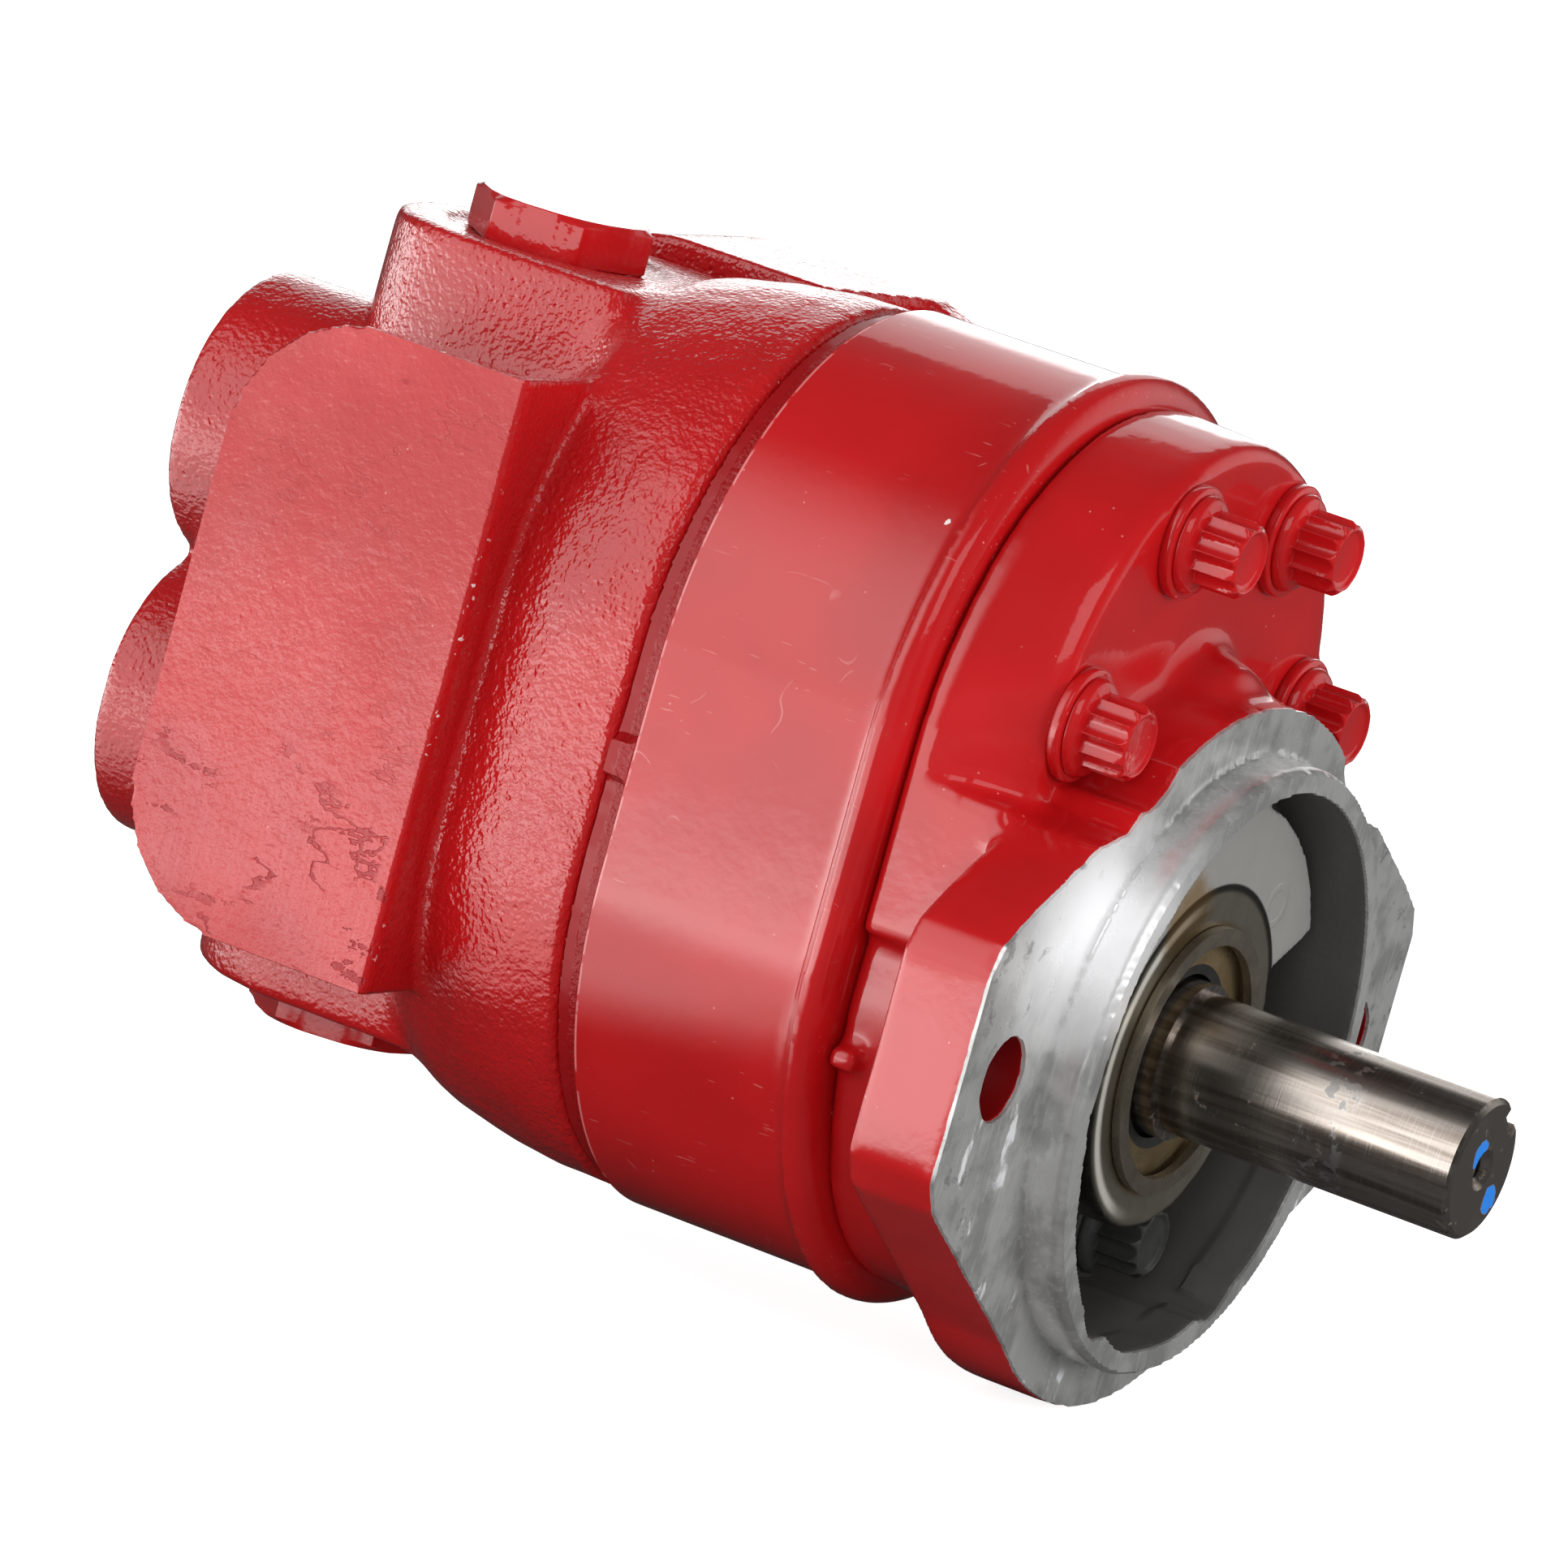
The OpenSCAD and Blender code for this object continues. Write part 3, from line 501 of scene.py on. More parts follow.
def front_red():
    """The front housing: red paint behind, bare machined and cast aluminium in front."""
    p = Paint("red_gloss_and_bare_aluminium")
    reach = p.far_from(0, 0)
    ragged = p.maths("MULTIPLY", p.maths("SUBTRACT", p.noise(2.5, 4), 0.5), 0.5)
    face = p.step(p.maths("ADD", p.y, ragged), 0.55, 0.40)
    hollow = p.both(p.step(reach, PILOT_R - 0.7, PILOT_R - 0.9), p.step(p.y, 13.4, 13.2))
    bare = p.either(face, hollow)
    cast = p.both(hollow, p.step(p.y, PILOT_FRONT + 0.25, PILOT_FRONT + 0.45))
    boss = p.both(cast, p.both(p.step(reach, 24.0, 23.6), p.step(p.y, 9, 5)))
    bore = p.both(cast, p.step(reach, 19.2, 18.2))

    red = enamel(p)
    # Painted shade: the inside of the mounting holes is coloured dark
    hole = p.both(p.step(p.far_from(MOUNT_X, 0, mirrored=True), 6.4, 6.0), p.step(p.y, 0.4, 0.8))
    red = p.blend(p.both(hole, 0.75), red, (0.06, 0.001, 0.001))

    metal = p.blend(p.step(p.noise(9, 4, rough=0.6), 0.42, 0.62), ALUMINIUM, (0.50, 0.50, 0.49))
    # Painted highlight: a bright patch on the flange face's upper left, made less metallic below so it stays
    # bright
    glint = p.step(p.maths("ADD", p.far_from(-44, 22), p.both(p.noise(8, 4), 10)), 30, 10)
    metal = p.blend(glint, metal, GLINT_AND_BRIGHT_ALUMINIUM)
    lines = p.noise(0.7, 2, p.stretched(1.0, 1.0, 0.12))
    metal = p.blend(p.both(p.step(lines, 0.52, 0.70), 0.35), metal, GLINT_AND_BRIGHT_ALUMINIUM)
    rim = p.both(p.step(reach, 45, 54), p.step(p.noise(5, 5, rough=0.7), 0.56, 0.64))
    metal = p.blend(p.both(rim, 0.55), metal, (0.20, 0.20, 0.20))
    smear = p.step(p.noise(6, 5, p.stretched(1.0, 1.0, 0.5), 0.6), 0.58, 0.64)
    smear = p.both(smear, p.both(p.step(reach, PILOT_R + 1, PILOT_R + 3), p.step(p.z, 8, -8)))
    metal = p.blend(p.both(smear, 0.8), metal, (0.82, 0.83, 0.86))

    skin = p.blend(p.noise(6, 4, rough=0.6), (0.36, 0.355, 0.335), DULL_ALUMINIUM)
    # Painted shade: the cast skin darkens deeper into the cavity
    skin = p.blend(p.both(p.step(p.y, 0, 7), 0.75), skin, (0.10, 0.095, 0.085))
    # Painted shade along the cavity's outer wall; the skin is also darker towards the bottom of the cavity
    dark = p.either(p.step(reach, CAVITY_R - 4, CAVITY_R - 2), p.both(p.step(p.z, 6, -8), 0.7))
    skin = p.blend(p.both(dark, 0.8), skin, (0.085, 0.08, 0.072))
    skin = p.blend(boss, skin, p.blend(p.noise(5, 4), (0.27, 0.235, 0.17), (0.46, 0.43, 0.36)))
    shade = p.both(boss, p.both(p.step(reach, 22.4, 23.2), p.step(p.y, -2.5, 0)))
    skin = p.blend(p.both(shade, 0.95), skin, (0.04, 0.038, 0.034))
    # Painted highlight on the seal boss's rounded rim, on its left side
    crest_highlight = p.both(boss, p.both(p.step(reach, 20.3, 21.3), p.step(reach, 22.6, 21.8)))
    crest_highlight = p.both(crest_highlight, p.step(p.maths("ADD", p.x, p.both(p.noise(9, 3), 8)), 2, -8))
    skin = p.blend(crest_highlight, skin, (0.85, 0.82, 0.74))
    oil = p.step(p.maths("ADD", p.far_from(-10, 19), p.both(p.noise(4, 4), 9)), 12.5, 8)
    skin = p.blend(p.both(oil, 0.75), skin, (0.26, 0.15, 0.04))
    skin = p.blend(bore, skin, p.blend(p.noise(3, 4), (0.20, 0.13, 0.05), (0.44, 0.34, 0.20)))
    metal = p.blend(cast, metal, skin)

    p.set(Base_Color=p.blend(bare, red, metal))
    shiny = p.either(boss, bore)
    plain = p.blend(p.either(p.both(smear, 0.9), p.both(glint, 0.6)), 0.72, 0.25)
    p.set(Metallic=p.both(bare, p.blend(cast, plain, p.blend(crest_highlight, p.blend(shiny, 0.45, 0.88), 0.5))))
    p.set(Coat_Weight=p.maths("SUBTRACT", 1.0, bare), Coat_Roughness=p.blend(p.noise(14, 3), 0.05, 0.10))
    shine = p.blend(cast, p.blend(p.noise(6, 4), 0.18, 0.42), p.blend(shiny, 0.42, 0.30))
    p.set(Roughness=p.blend(bare, 0.35, shine), Specular_IOR_Level=p.blend(bare, 0.2, 0.5))
    wave = p.bump(p.noise(7, 2), 0.05)
    ring = p.step(p.maths("ABSOLUTE", p.maths("SUBTRACT", p.far_from(16.6, 20.2), 2.6)), 0.7, 0.3)
    grain = p.both(p.noise(0.8, 3), p.blend(shiny, 0.8, 0.2))
    grain = p.maths("ADD", grain, p.both(ring, p.step(p.y, 2, 0)))
    fine = p.blend(cast, p.both(lines, 0.35), grain)
    p.set_normal(p.bump(p.blend(bare, p.both(p.noise(1.3, 2), 0.3), fine), 0.06, wave))
    return p.material


def painted_steel():
    """Red paint that has pooled over screws, washers and plugs."""
    p = Paint("red_gloss_on_steel")
    colour = enamel(p)
    p.set(Base_Color=colour, Coat_Weight=1.0, Coat_Roughness=0.06, Roughness=0.35, Specular_IOR_Level=0.2)
    p.set_normal(p.bump(p.noise(1.6, 2), 0.06))
    return p.material


def metal(name, dark, light, rough, size, grain, metallic=1.0):
    """A bare metal with an uneven tone and a fine grain."""
    p = Paint(name)
    p.set(Base_Color=p.blend(p.noise(size, 4, rough=0.6), dark, light), Metallic=metallic)
    p.set(Roughness=p.blend(p.noise(size * 0.6, 3), rough * 0.8, rough * 1.25))
    p.set(Normal=p.bump(p.noise(0.35, 2), grain))
    return p.material


def shaft_metal():
    """Ground steel with grinding lines, rust spots, a rubbed patch and blue marks on the end."""
    p = Paint("ground_steel")
    lines = p.noise(0.6, 2, p.stretched(0.08, 2.5, 0.08))
    streaks = p.noise(1.6, 3, p.stretched(1.0, 0.04, 1.0), 0.6)
    end = p.step(p.y, SHAFT_END + 0.5, SHAFT_END + 0.3)
    streaks = p.blend(end, p.step(streaks, 0.35, 0.65), 0.7)
    colour = p.blend(streaks, (0.26, 0.215, 0.18), (0.56, 0.50, 0.45))
    colour = p.blend(p.both(p.step(lines, 0.5, 0.7), 0.25), colour, (0.66, 0.62, 0.58))
    rust = p.both(p.step(p.noise(2.2, 4, rough=0.7), 0.60, 0.70), p.step(p.noise(14, 2), 0.42, 0.58))
    colour = p.blend(p.both(rust, 0.7), colour, (0.12, 0.05, 0.025))
    band = p.both(p.step(p.y, -30, -28), p.step(p.y, -21, -23))
    rubbed = p.both(band, p.step(p.noise(1.2, 3, p.stretched(1.0, 0.5, 0.35)), 0.52, 0.62))
    colour = p.blend(p.both(rubbed, 0.7), colour, (0.62, 0.60, 0.58))
    ink = 0.0
    for x, z, size in ((-2.2, 2.3, 1.9), (4.6, -4.2, 2.1)):
        far = p.maths("ADD", p.far_from(x, z), p.maths("MULTIPLY", p.noise(1.4, 3), 2.2))
        ink = p.either(ink, p.step(far, size + 1.1, size + 0.8))
    ink = p.both(ink, end)
    p.set(Base_Color=p.blend(ink, colour, (0.02, 0.22, 0.75)))
    p.set(Metallic=p.maths("SUBTRACT", 0.97, p.maths("MULTIPLY", p.either(p.both(rust, 0.6), ink), 0.9)))
    p.set(Roughness=p.either(p.blend(lines, 0.18, 0.28), p.both(p.either(rust, rubbed), 0.42)))
    p.set(Normal=p.bump(lines, 0.006))
    return p.material


def rubber():
    """Dull black seal rubber."""
    p = Paint("nitrile_rubber")
    p.set(Base_Color=p.blend(p.noise(4, 3), (0.012, 0.012, 0.012), (0.03, 0.03, 0.028)))
    p.set(Roughness=p.blend(p.noise(2, 3), 0.42, 0.6), Normal=p.bump(p.noise(0.5, 2), 0.01))
    return p.material


# ---- The three castings ----


def take_place(obj, node, material):
    """The piece stands for a CAD node on the housing and takes its finish."""
    obj.data.materials.clear()
    obj.data.materials.append(material)
    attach(obj, "housing")
    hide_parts(node)


def finish_casting(obj, node, material, crease):
    obj.data.shade_smooth()
    obj.data.set_sharp_from_angle(angle=math.radians(crease))
    take_place(obj, node, material)


def make_drum(material):
    """The gear housing: a smooth drum with a rounded bead in front and a trimmed step behind."""
    obj = dense_copy("gear_housing", "gear_housing_casting", 0.75)
    skin = Skin(obj)
    outer = skin.from_spine() > DRUM_R - 4
    step_y = DRUM_REAR - STEP_WIDTH
    skin.relax(np.where(outer & (skin.y < step_y - 1), 0.8, 0.0), 6)
    front = skin.y - DRUM_FRONT
    face = BEAD_R - BEAD_ROUND + np.sqrt(np.clip(BEAD_ROUND**2 - (BEAD_ROUND - front) ** 2, 0, None))
    into_cove = np.clip(BEAD_ROUND + COVE_ROUND - front, 0, COVE_ROUND)
    cove = DRUM_R + COVE_ROUND - np.sqrt(np.clip(COVE_ROUND**2 - into_cove**2, 0, None))
    radius = np.where(front < BEAD_ROUND, face, np.minimum(BEAD_R, cove))
    far = skin.from_spine()
    step = outer & (skin.y > step_y + 0.3) & (far < DRUM_R - STEP_DEPTH + 0.5)
    skin.snap(1, step_y, 0.6, outer & (far > DRUM_R - STEP_DEPTH + 0.2) & (far < DRUM_R + 0.2))
    skin.set_from_spine(outer & (front > 1.2) & (far > DRUM_R - 0.7), radius)
    skin.set_from_spine(step & (far > DRUM_R - STEP_DEPTH - 0.6), DRUM_R - STEP_DEPTH)
    skin.push(step * (0.05 * soft_noise(skin.co, 1.6) + 0.08 * soft_noise(skin.co, 5, 1)))
    skin.co[:, 1] = np.clip(skin.y, DRUM_FRONT, DRUM_REAR)
    skin.save()
    finish_casting(obj, "gear_housing", material, 45)


def make_front_housing(material):
    """The front housing: cast body with soft edges behind, machined flange and ring in front."""
    obj = dense_copy("front_housing", "front_housing_casting", 0.6)
    skin = Skin(obj)
    reach = np.hypot(skin.x, skin.z)
    outside = reach > PILOT_R + 0.4
    hole = np.hypot(np.abs(skin.x) - MOUNT_X, skin.z) < 7.5
    screw_holes = body_screw_distance(skin) < 8.4
    joint_face = (skin.y > DRUM_FRONT - 0.2) & (skin.from_spine() < 42)
    cast = ramp(skin.y, 0.6, 2.0) * outside * ~hole * ~screw_holes * ~joint_face
    skin.relax(cast, 8)
    skin.relax(cast, 8, edges=0.4)
    hump = ramp(skin.z, 32, 38) * ramp(-skin.y, -SCREW_SEAT - 1, -SCREW_SEAT + 1) * (reach < 60)
    skin.relax(cast * hump, 36)
    ledge_end = (skin.x < -36) & (np.abs(skin.y - 14) < 6) & (np.abs(skin.z - 30.5) < 5)
    skin.relax(cast * ledge_end, 10)
    inner = (reach < CAVITY_R - 0.3) & (reach > 18.6) & (skin.y < SCREW_SEAT - 0.4) & ~screw_holes
    skin.relax(np.where(inner, 0.7, 0.0), 5)
    ring = skin.y < -0.3
    rim = ring & (np.abs(reach - CAVITY_R) < 1.2)
    worn = rim * np.maximum(ramp(-skin.z, 4, 18), ramp(-skin.x, 25, 33))
    wave = worn * (0.55 * soft_noise(skin.co, 7) - 0.25)
    skin.co[:, 0] *= 1 + wave / CAVITY_R
    skin.co[:, 2] *= 1 + wave / CAVITY_R
    skin.push(cast * 0.10 * soft_noise(skin.co, 9))
    wall = ring & (np.abs(reach - PILOT_R) < 0.35) & (skin.y > PILOT_FRONT + 0.9)
    scale = np.where(wall, PILOT_R / reach, 1)
    skin.co[:, 0] *= scale
    skin.co[:, 2] *= scale
    skin.snap(1, PILOT_FRONT, 0.35, reach > CAVITY_R - 2)
    skin.snap(1, 0, 0.35, reach > PILOT_R + 0.2)
    skin.co = np.clip(skin.co, *corners("front_housing"))
    skin.save()
    finish_casting(obj, "front_housing", material, 42)


def body_screw_distance(skin):
    """Distance of each point from the nearest screw's axis."""
    nearest = np.full(len(skin.co), 99.0)
    for x, z in LOBE_SCREWS + CAVITY_SCREWS:
        nearest = np.minimum(nearest, np.hypot(skin.x - x, skin.z - z))
    return nearest


def screw_places(node):
    """The axes of the four screws in a CAD node, from the tops of their heads."""
    points = np.array([v.co for v in frame["nodes"][node].data.vertices]) / MM
    heads = points[points[:, 1] < HEAD_TOP + 0.05]
    places = []
    for x_sign in (-1, 1):
        side = heads[heads[:, 0] * x_sign > 0]
        split = (side[:, 2].min() + side[:, 2].max()) / 2
        for group in (side[side[:, 2] < split], side[side[:, 2] >= split]):
            middle = (group.min(axis=0) + group.max(axis=0)) / 2
            places.append((middle[0], middle[2]))
    return places


LOBE_SCREWS = screw_places("lobe_screws")
CAVITY_SCREWS = screw_places("cavity_screws")


def make_rear_casting(material):
    """The rear casting: a rough bell and port block with filleted bosses and milled side pads."""
    extra = [((-15, 96.5, -31.5), (2.4, 2.2, 2.0)), ((13, 97, -31.2), (1.8, 1.6, 1.5))]
    obj = dense_copy("rear_casting", "rear_casting_body", 0.8, extra)
    skin = Skin(obj)
    ports = np.minimum(np.hypot(skin.x, skin.z), np.hypot(skin.x, skin.z - IDLER_Z))
    valve = np.hypot(skin.x, skin.y - VALVE_Y)
    bores = (ports < 15.5) | ((valve < 16.5) & ~((skin.z > -29) & (skin.z < 72)))
    joint = skin.y < DRUM_REAR + 1.0
    sides = np.abs(skin.x) > PAD_X - 0.9
    inside = (skin.from_spine() < 30) & (skin.y < 140)
    far_cheek = (skin.x > 22) & (skin.z > 60)
    wall = (np.abs(skin.y - WALL_Y) < 1.6) & (np.abs(skin.x) > 36)
    fixed = bores | joint | sides | inside | wall | (far_cheek & (skin.z > 66))
    cast = np.where(fixed, 0.0, 1.0)
    skin.relax(cast, 3)
    corner = np.maximum(ramp(skin.z, 57, 64), ramp(-skin.z, 22, 27))
    skin.relax(cast * corner * ~far_cheek, 40, edges=0.04)
    skin.relax(cast * ramp(skin.y, 131, 134), 20, edges=0.3)
    # The ledge between the near pad and the top boss sinks behind the pad's lip
    lip_x = PAD_X - PAD_LIP
    span = np.clip((lip_x + np.where(skin.x < 0, skin.x, -99)) / (lip_x - BOSS_X), 0, 1)
    sunk = ramp(skin.z, 57, 61) * (skin.z < 69) * ~fixed
    sunk = sunk * ramp(-skin.y, -130, -124) * ramp(skin.y, 92, 95)
    skin.co[:, 2] -= sunk * (valve > BOSS_X - 1) * LEDGE_SINK * np.sqrt(span)
    skin.relax(sunk * (valve > BOSS_X - 2), 12)
    bell = ramp(-skin.y, -92, -88)
    skin.push(cast * (0.10 + 0.08 * bell) * soft_noise(skin.co, 8))
    skin.push(cast * (0.03 + 0.05 * bell) * soft_noise(skin.co, 2.6, 2))
    skin.co[:, 0] = np.clip(skin.x, -PAD_X, PAD_X)
    skin.co[:, 1] = np.clip(skin.y, DRUM_REAR, PORT_FACE)
    skin.save()
    finish_casting(obj, "rear_casting", material, 55)


# ---- Screws, washers and plugs ----


def star(tip, valley):
    """Outline of a twelve-point head: narrow points with round flutes between."""

    def outline(angle):
        wave = abs(math.sin(math.radians(6 * math.degrees(angle))))
        return tip - (tip - valley) * wave**0.75

    return outline


def hexagon(flats, turn):
    """Outline of a hexagon; turn is where a corner is, in degrees."""

    def outline(angle):
        near = (math.degrees(angle) - turn) % 60
        return flats / 2 / math.cos(math.radians(near - 30))

    return outline


def make_screws(name, node, places, material):
    """Flanged screws with twelve-point heads."""
    head = star(5.2, 4.3)
    seat = WASHER_FRONT
    rings = [
        (HEAD_TOP + 0.55, 3.1, None),
        (HEAD_TOP + 0.45, 3.6, None),
        (HEAD_TOP, 4.0, None),
        (HEAD_TOP, 4.3, None),
        (HEAD_TOP + 0.35, 4.7, head),
        (HEAD_TOP + 0.9, 5.2, head),
        (seat - 1.9, 5.2, head),
        (seat - 1.5, 5.8, None),
        (seat - 1.25, 6.2, None),
        (seat - 0.75, 6.55, None),
        (seat - 0.25, 6.7, None),
        (seat, 6.6, None),
        (seat, 4.7, None),
        (SCREW_END - 1.2, 4.7, None),
        (SCREW_END, 3.6, None),
    ]
    obj = turned_piece(name, rings, places)
    soften(obj, 0.22)
    take_place(obj, node, material)


def make_washers(name, node, places, material):
    """Washers with rounded outer edges: each ring is a Y and a radius."""
    rings = [
        (SCREW_SEAT, 7.4),
        (SCREW_SEAT - 0.3, 7.6),
        (WASHER_FRONT + 0.35, 7.6),
        (WASHER_FRONT + 0.1, 7.45),
        (WASHER_FRONT, 7.2),
        (WASHER_FRONT, 5.0),
        (SCREW_SEAT, 5.0),
    ]
    points = 64
    made = bmesh.new()
    for x, z in places:
        loops = [
            [
                made.verts.new(Vector((x + r * math.cos(a), y, z + r * math.sin(a))) * MM)
                for a in np.linspace(0, 2 * math.pi, points, endpoint=False)
            ]
            for y, r in rings
        ]
        for near, far in zip(loops, loops[1:] + loops[:1]):
            for i in range(points):
                made.faces.new((near[i], near[i - 1], far[i - 1], far[i]))
    take_place(piece_from(made, name, 40), node, material)


def make_plug(name, node, up, flats, head_height, turn, material):
    """A hexagon plug with chamfered corners; its stem is hollow, as room for the poppet's lift."""
    low, high = corners(node)
    top, bottom = (high.z, low.z) if up > 0 else (low.z, high.z)
    seat = top - up * head_height
    y = (low.y + high.y) / 2
    head = hexagon(flats, -turn)
    corner = flats / 2 / math.cos(math.radians(30))
    stem_r = 8.9
    hollow_r = 5.45
    hollow_depth = 4.0
    rings = [
        (top - up * 0.35, 5.0, None),
        (top - up * 0.2, 8.0, None),
        (top, 9.6, None),
        (top, corner - 1.5, head),
        (top - up * 0.75, corner + 0.1, head),
        (seat + up * 0.3, corner + 0.1, head),
        (seat, corner - 0.5, head),
        (seat, stem_r, None),
        (bottom + up * 0.8, stem_r, None),
        (bottom, 8.0, None),
        (bottom, hollow_r, None),
        (bottom + up * hollow_depth, hollow_r, None),
    ]
    obj = turned_piece(name, rings, [(0, 0)], start=-turn)
    soften(obj, 0.25)
    # The turned shape is along Y: stand it up along Z at the valve's place
    obj.data.transform(Matrix(((1, 0, 0, 0), (0, 0, -1, y * MM), (0, 1, 0, 0), (0, 0, 0, 1))))
    take_place(obj, node, material)


def make_spring(name, node, material):
    """A coil spring that fills its CAD node's box, flat at both ends."""
    low, high = corners(node)
    wire = 0.68
    turns = 4.5
    flat_end = 0.1
    steps = 24
    sides = 10
    radius = (high.x - low.x) / 2 - wire
    y = (low.y + high.y) / 2
    rise = high.z - low.z - 2 * wire
    count = int(turns * steps)
    made = bmesh.new()
    loops = []
    for i in range(count + 1):
        angle = 2 * math.pi * i / steps
        climb = (i / count - flat_end) / (1 - 2 * flat_end)
        z = low.z + wire + rise * min(max(climb, 0), 1)
        loop = []
        for k in range(sides):
            turn = 2 * math.pi * k / sides
            r = radius + wire * math.cos(turn)
            spot = (r * math.cos(angle), y + r * math.sin(angle), z + wire * math.sin(turn))
            loop.append(made.verts.new(Vector(spot) * MM))
        loops.append(loop)
    for near, far in zip(loops, loops[1:]):
        for k in range(sides):
            made.faces.new((near[k], near[k - 1], far[k - 1], far[k]))
    made.faces.new(loops[0])
    made.faces.new(loops[-1])
    obj = piece_from(made, name)
    take_place(obj, node, material)
    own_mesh(obj)


# ---- Put it together ----

drum_paint = smooth_red()
front_paint = front_red()
iron_paint = cast_red()
screw_paint = painted_steel()
black_steel = metal(
    "black_oxide_steel", (0.05, 0.05, 0.05), (0.13, 0.128, 0.125), 0.30, 3.0, 0.02, metallic=0.6
)

make_drum(drum_paint)
make_front_housing(front_paint)
make_rear_casting(iron_paint)
make_screws("lobe_screw_set", "lobe_screws", LOBE_SCREWS, screw_paint)
make_screws("cavity_screw_set", "cavity_screws", CAVITY_SCREWS, black_steel)
make_washers("lobe_washer_set", "lobe_washers", LOBE_SCREWS, screw_paint)
make_washers("cavity_washer_set", "cavity_washers", CAVITY_SCREWS, black_steel)
make_plug("top_plug", "top_valve_plug", 1, 22.2, 6.2, 41, screw_paint)
make_plug("bottom_plug", "bottom_valve_plug", -1, 23.8, 5.2, 46, screw_paint)

ground_steel = shaft_metal()
gear_steel = metal("gear_steel", (0.30, 0.29, 0.27), (0.50, 0.49, 0.47), 0.25, 8.0, 0.006)
bronze = metal("bearing_bronze", (0.42, 0.24, 0.09), (0.62, 0.38, 0.17), 0.30, 6.0, 0.01)
case_steel = metal(
    "stained_seal_steel", (0.14, 0.09, 0.035), (0.40, 0.30, 0.17), 0.28, 5.0, 0.01, metallic=0.6
)
spring_steel = metal(
    "spring_steel", (0.12, 0.10, 0.07), (0.32, 0.28, 0.22), 0.26, 3.0, 0.008, metallic=0.75
)
nitrile = rubber()
make_spring("top_valve_coil", "top_valve_spring", spring_steel)
make_spring("bottom_valve_coil", "bottom_valve_spring", spring_steel)

FINISHES = {
    "black_rubber": nitrile,
    "shaft_steel": ground_steel,
    "gear_steel": gear_steel,
    "bronze": bronze,
    "seal_steel": case_steel,
    "spring_steel": spring_steel,
    "black_screw_steel": black_steel,
    "red_paint": screw_paint,
    "red_cast_paint": iron_paint,
    "red_paint_on_aluminium": drum_paint,
}
for name, obj in frame["nodes"].items():
    if obj.hide_render:
        continue
    finish = FINISHES[SLOTS[name]]
    obj.data.materials.clear()
    obj.data.materials.append(finish)

# ---- Floor, light and camera ----

BACK_GLOW = 2.0
LEFT_GLOW = 2.3
RIGHT_GLOW = 0.6
AMBIENT = 0.34
# The picture's width, the lens's focal length in its pixels, and the camera's sensor in millimetres
PICTURE = 1932
FOCAL = 14000
SENSOR = 36


def lobe(tree, direction, towards, low, high, strength):
    """Light that fades out away from one direction."""
    side = tree.nodes.new("ShaderNodeVectorMath")
    side.operation = "DOT_PRODUCT"
    side.inputs[1].default_value = Vector(towards).normalized()
    tree.links.new(direction, side.inputs[0])
    fall = tree.nodes.new("ShaderNodeMapRange")
    fall.interpolation_type = "SMOOTHSTEP"
    for key, value in (("From Min", low), ("From Max", high), ("To Min", 0.0), ("To Max", strength)):
        fall.inputs[key].default_value = value
    tree.links.new(side.outputs["Value"], fall.inputs["Value"])
    return fall.outputs[0]


def make_floor():
    """A pale table that looks white, and that gloss on the left side of the object sees brightly lit."""
    p = Paint("pale_floor")
    away = p.maths("SUBTRACT", p.both(p.maths("SUBTRACT", p.y, 56), 0.42), p.both(p.x, 0.9))
    near = p.blend(p.step(away, 140, 250), 2.2, 5.0)
    lit = p.both(p.step(away, 62, 100), p.blend(p.step(away, 300, 480), near, 2.6))
    lit = p.both(lit, p.step(p.y, 44, 86))
    path = p.tree.nodes.new("ShaderNodeLightPath")
    pale = p.blend(p.noise(300, 2), (0.64, 0.64, 0.64), (0.66, 0.66, 0.66))
    p.set(Base_Color=p.blend(path.outputs["Is Glossy Ray"], pale, (0.06, 0.06, 0.06)), Roughness=0.9)
    glow = p.both(path.outputs["Is Camera Ray"], 0.85)
    glow = p.maths("ADD", glow, p.both(path.outputs["Is Glossy Ray"], lit))
    p.set(Emission_Color=(1, 1, 1, 1), Emission_Strength=glow)
    mesh = bpy.data.meshes.new("floor")
    made = bmesh.new()
    bmesh.ops.create_grid(made, x_segments=1, y_segments=1, size=6.0)
    made.to_mesh(mesh)
    made.free()
    floor = new_object("floor", mesh)
    floor.location.z = cad_box[0].z - 0.0005
    mesh.materials.append(p.material)


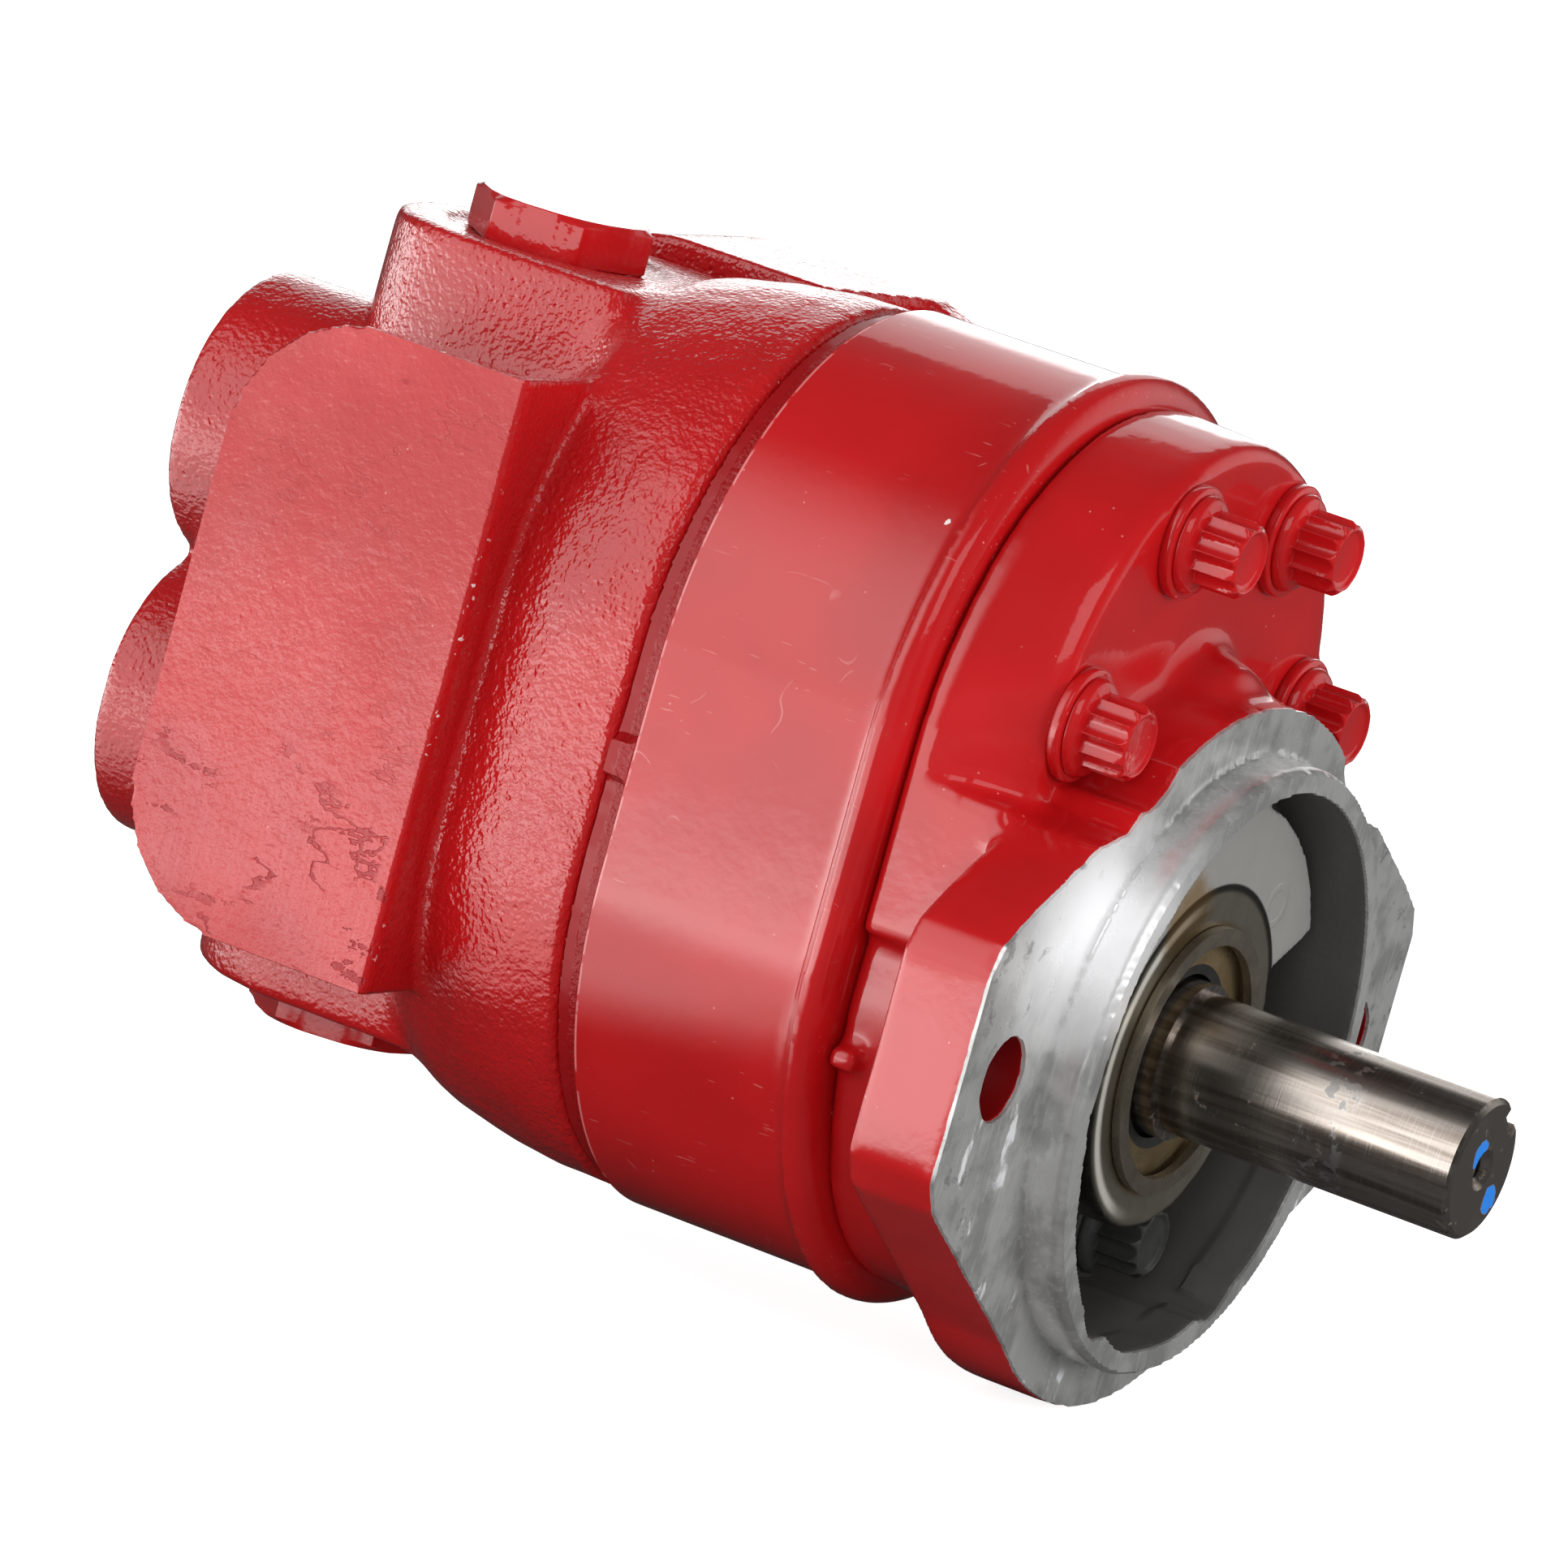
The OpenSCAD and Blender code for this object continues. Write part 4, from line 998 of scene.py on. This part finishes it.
def make_world():
    """White behind the object; in gloss, bright right behind it and on the left, dark elsewhere."""
    world = bpy.data.worlds.new("studio")
    bpy.context.scene.world = world
    world.use_nodes = True
    tree = world.node_tree
    link = tree.links.new

    def maths(operation, a, b):
        made = tree.nodes.new("ShaderNodeMath")
        made.operation = operation
        for socket, value in zip(made.inputs, (a, b)):
            if isinstance(value, float):
                socket.default_value = value
            else:
                link(value, socket)
        return made.outputs[0]

    direction = tree.nodes.new("ShaderNodeTexCoord").outputs["Generated"]
    path = tree.nodes.new("ShaderNodeLightPath").outputs
    back = lobe(tree, direction, (0.892, 0.421, 0.163), 0.970, 0.998, BACK_GLOW)
    left = lobe(tree, direction, (-0.90, 0.42, 0.05), 0.42, 0.95, LEFT_GLOW)
    left = maths("MULTIPLY", left, lobe(tree, direction, (0, 1, 0), 0.06, 0.36, 1.0))
    right = lobe(tree, direction, (0.80, -0.60, 0.25), 0.80, 0.98, RIGHT_GLOW)
    ambient = maths("MULTIPLY", path["Is Diffuse Ray"], AMBIENT)
    total = maths("ADD", maths("ADD", back, left), maths("ADD", ambient, maths("ADD", right, 0.05)))
    seen = tree.nodes.new("ShaderNodeMix")
    link(path["Is Camera Ray"], seen.inputs[0])
    link(total, seen.inputs[2])
    seen.inputs[3].default_value = 1.0
    shade = tree.nodes["Background"]
    shade.inputs["Color"].default_value = (1, 1, 1, 1)
    link(seen.outputs[0], shade.inputs["Strength"])


def make_sun(name, towards, power, width):
    """A soft distant light, even all over the floor; towards points at it."""
    sun = bpy.data.lights.new(name, "SUN")
    sun.energy = power
    sun.angle = math.radians(width)
    obj = new_object(name, sun)
    obj.rotation_mode = "QUATERNION"
    obj.rotation_quaternion = Vector(towards).to_track_quat("Z", "Y")


def make_light(name, spot, aim, size, power, in_gloss=True):
    """A square or oblong light at a spot, aimed at a point."""
    light = bpy.data.lights.new(name, "AREA")
    light.shape = "RECTANGLE"
    light.size, light.size_y = size
    light.energy = power
    obj = new_object(name, light)
    obj.location = spot
    obj.rotation_mode = "QUATERNION"
    obj.rotation_quaternion = (Vector(aim) - Vector(spot)).to_track_quat("-Z", "Y")
    obj.visible_glossy = in_gloss


def make_camera():
    """The photograph's viewpoint: right, down and forward are the picture's axes in the CAD frame."""
    right = Vector((0.451, -0.853, 0.265)).normalized()
    forward = Vector((0.892, 0.421, -0.163))
    forward = (forward - forward.dot(right) * right).normalized()
    down = forward.cross(right)
    camera = bpy.data.cameras.new("camera")
    camera.sensor_width = SENSOR
    camera.lens = FOCAL * SENSOR / PICTURE
    camera.clip_start = 0.05
    camera.clip_end = 50
    obj = new_object("camera", camera)
    place = -(0.05132 * right + 0.03553 * down + 1.4683 * forward)
    obj.matrix_world = Matrix.Translation(place) @ Matrix((right, -down, -forward)).transposed().to_4x4()
    bpy.context.scene.camera = obj


make_floor()
make_world()
middle = (cad_box[0] + cad_box[1]) / 2
make_sun("back_light", (0.78, 0.45, 0.42), 0.35, 40)
make_light("high_softbox", middle + Vector((-0.9, -0.78, 0.95)), middle, (0.8, 0.8), 3.0)
make_light("left_fill", middle + Vector((-1.20, -0.45, 0.10)), middle, (0.8, 0.5), 6.0, in_gloss=False)
make_light("front_fill", middle + Vector((0.12, -1.30, 0.35)), middle, (0.9, 0.7), 10.0, in_gloss=False)
make_camera()
bpy.context.scene.view_settings.view_transform = "Standard"
